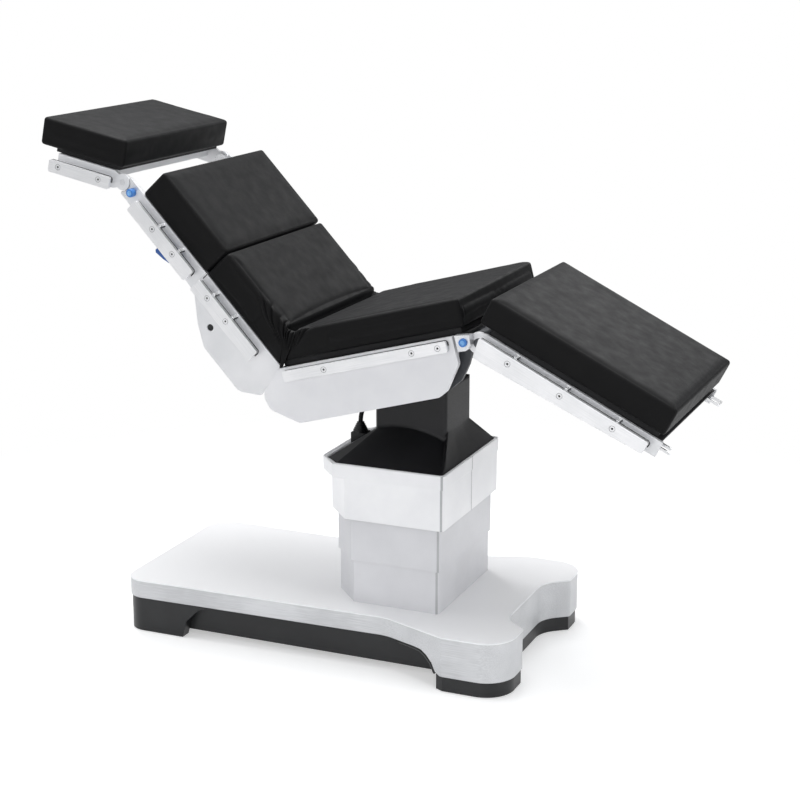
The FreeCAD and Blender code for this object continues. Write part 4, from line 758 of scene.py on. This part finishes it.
rim_corners = [(-98, -153), (-56, -193), (237, -193), (237, 193), (-56, 193), (-98, 153)]
neck_corners = [(6, -79), (12, -85), (205, -85), (205, 85), (12, 85), (6, 79)]
rim = matched_outline(rim_corners, (3, 3, 8, 8, 3, 3))
neck = matched_outline(neck_corners, (3, 3, 8, 8, 3, 3))
arc_z = ARC_PEAK_Z - ARC_DROP * (neck[:, 0] - ARC_PEAK_X) ** 2
on_foot = np.clip((NECK_HALF - np.abs(neck[:, 1])) / 8, 0, 1) * (neck[:, 0] > 100)
on_head = np.clip((NECK_HALF - np.abs(neck[:, 1])) / 6, 0, 1) * (neck[:, 0] < 100)
crease = arc_z * (1 - on_foot - on_head) + FOOT_SIDE_Z * on_foot + HEAD_SIDE_Z * on_head
inwards = np.clip((NECK_HALF - 8 - np.abs(neck[:, 1])) / 50, 0, 1) * (neck[:, 0] > 100)
curve_power = 1.0 + 0.5 * inwards
hood_rings = []
for t in np.linspace(0, 1, 40):
    out = (1 - t) ** curve_power
    height = RIM_Z + (crease - RIM_Z) * t
    hood_rings.append(np.column_stack([neck + (rim - neck) * out[:, None], height]))
for t in np.linspace(0, 1, 14)[1:]:
    hood_rings.append(np.column_stack([neck, crease + (NECK_TOP - crease) * t]))
hood_points = np.concatenate(hood_rings) * MM
hood = new_object("hood_moulding", hood_points, grid_faces(len(hood_rings), len(rim), round_columns=True))
HOOD_BLACK = moulded("black_hood_abs", "#121214", "#18181b", 0.5, grain_mm=1.4, depth_mm=0.03, specular=0.35)
dress(hood, HOOD_BLACK)
outward(hood)
bake(hood, "SOLIDIFY", thickness=3 * MM, offset=-1)
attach(hood, "column_top")
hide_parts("hood")
print("hood", len(hood.data.polygons), "faces")

# %% [markdown]
# ## Edges, seams and trims
#
# A few thin things draw the lines of the base and the column: a painted highlight along the base cover's top edge,
# a black sealing strip under it, painted dark reflections on the column's rounded corners, the seam of its upper
# cover, and a white bead round its rim. Each is a round profile swept along a line, or a strip that lies on a
# face.

# %% Sweeps


STEEP = 0.2


def unit_rows(vectors):
    """Each row of an array divided by its own length."""
    return vectors / np.linalg.norm(vectors, axis=1, keepdims=True)


def sweep(path, radius, sides=8, closed=False):
    """Points and faces of a round bar along a line of points in millimetres.

    Each ring stands across the line, on an axis that is level where the line allows it."""
    path = np.asarray(path, float)
    ahead = np.roll(path, -1, axis=0) - path
    behind = path - np.roll(path, 1, axis=0)
    if not closed:
        ahead[-1], behind[0] = behind[-1], ahead[0]
    way = unit_rows(unit_rows(ahead) + unit_rows(behind))
    level = np.cross(way, [0, 0, 1])
    steep = np.linalg.norm(level, axis=1) < STEEP
    level[steep] = np.cross(way[steep], [0, 1, 0])
    level = unit_rows(level)
    third = np.cross(level, way)
    turn = np.linspace(0, 2 * math.pi, sides, endpoint=False)
    rings = (path[:, None] + radius * (np.cos(turn)[None, :, None] * level[:, None]
                                       + np.sin(turn)[None, :, None] * third[:, None]))
    faces = grid_faces(len(path), sides, round_rows=closed, round_columns=True).tolist()
    if not closed:
        faces += [list(range(sides))[::-1], [(len(path) - 1) * sides + k for k in range(sides)]]
    return rings.reshape(-1, 3), faces


def joined(shapes):
    """Several (points, faces) shapes as one."""
    points, faces, count = [], [], 0
    for shape_points, shape_faces in shapes:
        points.append(np.asarray(shape_points, float))
        faces += [[index + count for index in face] for face in shape_faces]
        count += len(shape_points)
    return np.concatenate(points), faces


def mirrored(points_faces):
    """The same shape on the other side of the table, with its faces turned round."""
    points, faces = points_faces
    return np.asarray(points) * [1, -1, 1], [list(face)[::-1] for face in faces]


def fit(name, shapes, finish, body, section=FLOOR):
    """A piece of several shapes in a section's millimetres, dressed and riding on its body."""
    points, faces = joined(shapes)
    piece = new_object(name, section.place(points), faces)
    dress(piece, finish)
    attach(piece, body)
    return piece


def both(shapes):
    """Shapes of the near side, and their mirror images on the far side."""
    return shapes + [mirrored(shape) for shape in shapes]


print("sweeps ready")

# %% Base trims
BASE_NEAR = [(-664, -270), (110, -254), (290, -324), (459.5, -324), (459.5, -191), (397, -142)]
BASE_RADII = (56, 112, 20, 80, 14, 80)
BASE_TOP = 147
BASE_FAR = [(x, -y) for x, y in BASE_NEAR[::-1]]
base_line = outline_round(BASE_NEAR + BASE_FAR, BASE_RADII + BASE_RADII[::-1], 14)
# The bright line round the base cover's top edge is a painted highlight: a near-white tube laid just inside the
# edge, in place of light off the rounded sheet.
PAINTED_HIGHLIGHT_METAL = plain_metal("painted_highlight_white_metal", "#eeeff1", "#f6f7f8", 0.35, 0.1, 2.0, 0.01)
HIGHLIGHT_TUBE_MM, HIGHLIGHT_TUBE_DROP = 1.9, 1.6
BASE_MIDDLE, BASE_SHRINK = np.array([-100.0, 0.0]), 0.0015
shrunk = base_line - (base_line - BASE_MIDDLE) * BASE_SHRINK
inset_line = np.column_stack([shrunk, np.full(len(shrunk), BASE_TOP - HIGHLIGHT_TUBE_DROP)])
fit("base_top_edge_painted_highlight", [sweep(inset_line, HIGHLIGHT_TUBE_MM, closed=True)], PAINTED_HIGHLIGHT_METAL, "base")

# The cover's lower edge swings down to the foot in an S, which a black strip follows.
EDGE_X = (150, 200, 224, 242, 259, 270, 286)
EDGE_Z = (97, 97, 95.4, 86, 70.6, 50, 42)
along = np.concatenate([np.linspace(150, 240, 12), np.linspace(243, 272, 14)])
near_part = base_line[(base_line[:, 1] < 0) & (base_line[:, 0] < 300)]
near_part = near_part[np.argsort(near_part[:, 0])]
wall_y = np.interp(along, near_part[:, 0], near_part[:, 1])
edge_z = np.interp(along, EDGE_X, EDGE_Z)
STRIP_SHIFT, STRIP_MM = (-3, 7, -4), 5.5
arch = sweep(np.column_stack([along, wall_y, edge_z]) + STRIP_SHIFT, STRIP_MM, sides=10)
fit("wheel_arch_strips", [arch, mirrored(arch)], BLACK_PLASTIC, "base")
print("base trims ready")

# %% Painted corner reflections, seam and rim
# The darker strips on the column's rounded corners are a painted dark reflection of the bend: thin sheets lying
# just off each corner.
PAINTED_CORNER_REFLECTION = coated("painted_corner_reflection_strip", "#a6a7a9", "#b0b1b3", 0.4, metallic=0.3)
SEAM = moulded("dark_seam", "#6e6e70", "#747476", 0.7)
STRIP_FROM, STRIP_TO = -93, -52
COLUMN_COVERS = {
    "base": [(226, 184, 147, 283)],
    "column_middle": [(230.5, 188, 262, 404)],
    "column_top": [(243, 199, 377, 487), (245, 201, 487, 523)],
}
for body, covers in COLUMN_COVERS.items():
    strips = []
    for back, half, low, high in covers:
        turn = np.linspace(math.radians(STRIP_FROM), math.radians(STRIP_TO), 12)
        ring = np.column_stack([back - 8 + 8.5 * np.cos(turn), -half + 8 + 8.5 * np.sin(turn)])
        points = np.concatenate([np.column_stack([ring, np.full(12, height)]) for height in (low, high)])
        strips += [(points, grid_faces(2, 12)), mirrored((points, grid_faces(2, 12)))]
    fit(f"{body}_painted_corner_reflections", strips, PAINTED_CORNER_REFLECTION, body)
seams = []
for back, low, high in ((243, 377, 487), (245, 487, 523)):
    corners = [(back + 0.3, y, z) for y, z in ((-0.9, low), (0.9, low), (0.9, high), (-0.9, high))]
    seams.append((np.array(corners), [[0, 1, 2, 3]]))
fit("upper_cover_seam", seams, SEAM, "column_top")
rim_line = outline_round([(-102, -155), (-58, -197), (241, -197), (241, 197), (-58, 197), (-102, 155)],
                         (6, 6, 9, 9, 6, 6))
bead = sweep(np.column_stack([rim_line, np.full(len(rim_line), 521.6)]), 3.2, closed=True)
fit("rim_bead", [bead], WHITE_COVER, "column_top")
print("column details ready")

# %% [markdown]
# ## Rails
#
# Each rail is a flat bar held off the section by spacers. Behind its upper edge runs a black line of painted
# shadow, in the gap between rail and plate, that turns down round the foot end. Ring marks stand round the
# countersunk screws, whose sockets are black hexagons of painted shade, and bright pins show above the rail where
# the spacers pass: real spacers with a painted highlight, each with a painted shadow beside it.

# %% Rails
RAIL_FACE, RAIL_BACK, PLATE_FACE = 300.0, 290.0, 268.0
BACK_SPLIT = -322
RAILS = {
    "seat": (SEAT, "seat_section", [((33, 24), (488, 24), (488, -4))],
             [(150, 10), (394, 10), (464, 10)], []),
    "back": (BACK, "back_section",
             [((-319.5, 20), (-84, 20), (-84, -18)), ((-580, 20), (-345.5, 20), (-345.5, -18))],
             [(-196.5, 4), (-271.5, 4), (-415.5, 4), (-497.5, 4)],
             [(-193, 21), (-268, 21), (-411, 21), (-492, 21)]),
    "head": (HEAD, "head_section", [((-203, 11), (-20, 11), (-20, -21))], [(-53, -3), (-175, -3)], []),
    "leg": (LEG, "leg_section", [((2, 25), (474, 24), (472, -9))],
            [(92, 6), (238, 6), (384, 6)], [(101, 25), (243, 25), (386, 25)]),
}
RING_STEEL = plain_metal("ring_marks", "#8f9092", "#98999b", 0.5, 0.4, 2.0, 0.01)
RING_MM, SOCKET_MM = 7.2, 3.0
PIN_MM, PIN_SHADOW_MM, PIN_SHADOW_AHEAD = 4.2, 2.6, 4


def ring_of(x, z, radius, y, count):
    """Points round a circle that faces the side of the table."""
    turn = np.linspace(0, 2 * math.pi, count, endpoint=False)
    return np.column_stack([x + radius * np.cos(turn), np.full(count, y), z + radius * np.sin(turn)])


for word, (section, body, edges, screws, pins) in RAILS.items():
    shadow_gap_lines, rings, socket_shades = [], [], []
    # Painted shadow: black tubes in the gap behind each rail's upper edge, turning down round its foot end.
    for (x0, z0), (x1, z1), (x2, z2) in edges:
        curve = np.linspace(0, math.pi / 2, 8)
        path = [(x0 + 4, -RAIL_BACK + 1, z0 - 1)]
        path += [(x1 - 6 + 7.5 * math.sin(a), -RAIL_BACK + 1, z1 - 7.5 + 7.5 * math.cos(a)) for a in curve]
        path += [(x1 + 1.5 + (x2 - x1) * 0.4, -RAIL_BACK + 1, z1 + (z2 - z1) * 0.45)]
        shadow_gap_lines.append(sweep(path, 1.5))
    for x, z in screws:
        rings.append(sweep(ring_of(x, z, RING_MM, -RAIL_FACE - 0.1, 40), 0.5, sides=6, closed=True))
        # Painted shade: a black hexagon sits in each screw's socket.
        socket_shades.append((ring_of(x, z, SOCKET_MM, -RAIL_FACE + 1.3, 6), [[0, 1, 2, 3, 4, 5]]))
    # Painted shadow in the gap at the end of the back's lower plate.
    if word == "back":
        shadow_gap_lines.append(sweep([(BACK_SPLIT, -PLATE_FACE - 0.4, z) for z in (14, 29)], 1.3))
    fit(f"{word}_rail_painted_shadow_gaps", both(shadow_gap_lines), RUBBER, body, section)
    fit(f"{word}_screw_rings", both(rings), RING_STEEL, body, section)
    fit(f"{word}_screw_socket_painted_shades", both(socket_shades), BLACK_PLASTIC, body, section)
    # The spacer pins are real, and their near-white colour adds a painted highlight; the dark heel set along and
    # below each pin is a painted shadow.
    if pins:
        bars = [sweep([(x, -PLATE_FACE, z), (x, -RAIL_BACK, z)], PIN_MM, sides=16) for x, z in pins]
        pin_shadows = [sweep([(x + PIN_SHADOW_AHEAD, -PLATE_FACE, z - 1), (x + PIN_SHADOW_AHEAD, -RAIL_BACK + 2, z - 1)],
                       PIN_SHADOW_MM, sides=12) for x, z in pins]
        fit(f"{word}_spacer_pins", both(bars), PAINTED_HIGHLIGHT_METAL, body, section)
        fit(f"{word}_spacer_pin_painted_shadows", both(pin_shadows), DARK_STEEL, body, section)
print("rails ready")

# %% [markdown]
# ## Hand controls
#
# The release buttons and the clamp knobs are blue nylon with a paler cap let into the face.
# The release lever is a flat blade whose grip widens below the rail, where a finger hooks it.
# A dark plug sits in each sight hole of the back's lower side plates.

# %% Hand controls
CAP_SHARE, CAP_PROUD_MM = 0.6, 0.4
LEVER_PIVOT = np.array([-398.0, -11.0])
LEVER_GRIP = np.array([(6, 5), (8, -6), (-8, -19), (-30, -26), (-56, -31), (-62, -26), (-58, -8), (-18, 5)])
GRIP_INNER, GRIP_OUTER = 270.6, 279.6


def face_cap(node):
    """A round cap on a control's outer face: its radius is a share of the control's own half height."""
    low, high = (np.array(corner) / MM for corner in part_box(node))
    middle, half = (low + high) / 2, (high - low) / 2
    side = math.copysign(1, middle[1])
    face = middle[1] + side * half[1]
    radius = CAP_SHARE * min(half[0], half[2])
    ends = [(middle[0], face - side * 1.0, middle[2]), (middle[0], face + side * CAP_PROUD_MM, middle[2])]
    return sweep(ends, radius, sides=32)


def prism(outline, inner, outer):
    """A closed outline in x and z, carried from y = -inner to y = -outer."""
    count = len(outline)
    points = [(x, -y, z) for y in (inner, outer) for x, z in outline]
    sides = [(k, (k + 1) % count, count + (k + 1) % count, count + k) for k in range(count)]
    return np.array(points, float), sides + [tuple(range(count))[::-1], tuple(range(count, 2 * count))]


for node in ("release_button_near", "release_button_far", "head_knob_near", "head_knob_far"):
    fit(f"{node}_cap", [face_cap(node)], PALE_BLUE, node)
grip = fit("release_lever_grip", [prism(LEVER_GRIP + LEVER_PIVOT, GRIP_INNER, GRIP_OUTER)], DARK_BLUE,
           "release_lever", BACK)
outward(grip)
bake(grip, "BEVEL", width=1.5 * MM, segments=2)
print("hand controls ready")

# %% Sight hole plugs
SIGHT_HOLE, PLUG_MM = (-218, -60), 8.8
plug = sweep([(SIGHT_HOLE[0], -PLATE_FACE + depth, SIGHT_HOLE[1]) for depth in (7, 3)], PLUG_MM, sides=32)
fit("sight_hole_plugs", both([plug]), BLACK_PLASTIC, "back_section", BACK)
print("plugs ready")

# %% [markdown]
# ## Floor, background and lamps
#
# A product picture on white: the floor near the table takes its shadow and a faint
# reflection, and fades to plain white further out. The world is white to the camera, a pale
# gradient to gloss, and dimmer as a light. Soft lamps stand over the table and at its sides.

# %% Floor and world
FLOOR_REACH = 14.0
floor = new_object("floor", [(-FLOOR_REACH, -FLOOR_REACH, 0), (FLOOR_REACH, -FLOOR_REACH, 0),
                             (FLOOR_REACH, FLOOR_REACH, 0), (-FLOOR_REACH, FLOOR_REACH, 0)], [(0, 1, 2, 3)])
material = bpy.data.materials.new("studio_floor")
material.use_nodes = True
tree = material.node_tree
tree.nodes.clear()
place = add(tree, "ShaderNodeTexCoord").outputs["Object"]
far = add(tree, "ShaderNodeVectorMath", {0: place}, operation="LENGTH").outputs["Value"]
fade = add(tree, "ShaderNodeMapRange", {"Value": far, "From Min": 1.0, "From Max": 2.2},
           interpolation_type="SMOOTHSTEP").outputs["Result"]
rays = add(tree, "ShaderNodeLightPath").outputs
seen = add(tree, "ShaderNodeMath", {0: rays["Is Camera Ray"], 1: rays["Is Glossy Ray"]}, operation="MAXIMUM")
lit = add(tree, "ShaderNodeBsdfDiffuse", {"Color": linear("#ececec")}).outputs[0]
gloss = add(tree, "ShaderNodeBsdfGlossy", {"Color": linear("#ffffff"), "Roughness": 0.18}).outputs[0]
lift = add(tree, "ShaderNodeEmission", {"Color": linear("#ffffff"), "Strength": 0.42}).outputs[0]
sheen = add(tree, "ShaderNodeMixShader", {0: 0.08, 1: lit, 2: gloss}).outputs[0]
glow = add(tree, "ShaderNodeMixShader", {0: seen.outputs[0], 1: sheen, 2: add(
    tree, "ShaderNodeAddShader", {0: sheen, 1: lift}).outputs[0]}).outputs[0]
white = add(tree, "ShaderNodeEmission", {"Color": linear("#ffffff"), "Strength": 1.0}).outputs[0]
faded = add(tree, "ShaderNodeMath", {0: fade, 1: seen.outputs[0]}, operation="MULTIPLY").outputs[0]
surface = add(tree, "ShaderNodeMixShader", {0: faded, 1: glow, 2: white}).outputs[0]
add(tree, "ShaderNodeOutputMaterial", {"Surface": surface})
dress(floor, material)

world = bpy.data.worlds.new("studio")
bpy.context.scene.world = world
world.use_nodes = True
tree = world.node_tree
tree.nodes.clear()
rays = add(tree, "ShaderNodeLightPath").outputs
seen = add(tree, "ShaderNodeMath", {0: rays["Is Camera Ray"], 1: rays["Is Glossy Ray"]}, operation="MAXIMUM")
seen = add(tree, "ShaderNodeMath", {0: seen.outputs[0], 1: rays["Is Transmission Ray"]}, operation="MAXIMUM")
WORLD_LIGHT = 0.42
GLOSS_LOW, GLOSS_HIGH = 0.2, 1.1
as_light = add(tree, "ShaderNodeBackground", {"Color": linear("#f4f7fb"), "Strength": WORLD_LIGHT}).outputs[0]
way = add(tree, "ShaderNodeTexCoord").outputs["Generated"]
upwards = add(tree, "ShaderNodeSeparateXYZ", {0: way}).outputs["Z"]
studio = add(tree, "ShaderNodeMapRange", {"Value": upwards, "From Min": 0.15, "From Max": 0.75,
                                          "To Min": GLOSS_LOW, "To Max": GLOSS_HIGH},
             interpolation_type="SMOOTHSTEP").outputs["Result"]
shine = add(tree, "ShaderNodeMix", {0: rays["Is Camera Ray"], 2: studio, 3: 1.0}).outputs[0]
as_white = add(tree, "ShaderNodeBackground", {"Color": linear("#ffffff"), "Strength": shine}).outputs[0]
both = add(tree, "ShaderNodeMixShader", {0: seen.outputs[0], 1: as_light, 2: as_white}).outputs[0]
add(tree, "ShaderNodeOutputWorld", {"Surface": both})
print("floor and world ready")

# %% Lamps


def softbox(name, place, target, width, watts):
    """A square lamp of a given width that faces a target."""
    light = bpy.data.lights.new(name, "AREA")
    light.size = width
    light.energy = watts
    lamp = bpy.data.objects.new(name, light)
    way = np.array(target) - np.array(place)
    lamp.location = place
    fall = math.acos(-way[2] / np.linalg.norm(way))
    lamp.rotation_euler = (fall, 0, math.atan2(way[1], way[0]) - math.pi / 2)
    bpy.context.scene.collection.objects.link(lamp)
    return lamp


softbox("lamp_over", (-0.5, 0.2, 3.4), (-0.1, 0, 0.4), 2.2, 95)
softbox("lamp_head_end", (-2.6, -1.2, 2.2), (-0.4, 0, 0.3), 1.6, 10)
softbox("lamp_foot_end", (3.2, -0.6, 1.2), (0, 0, 0.5), 1.6, 24)
softbox("lamp_far_head", (-2.4, 2.0, 2.6), (-0.4, 0, 0.15), 1.6, 42).visible_glossy = False
softbox("lamp_far_side", (0.7, 2.9, 2.35), (0.2, 0, 0.9), 1.4, 14)
softbox("lamp_near_side", (0.2, -4.2, 1.5), (0, 0, 0.5), 2.4, 40)
print("lamps ready")

# %% [markdown]
# ## Finish
#
# The view layer is brought up to date once every piece is in. The dressed model has to
# stay inside the box of the CAD model.

# %% Finish
bpy.context.view_layer.update()
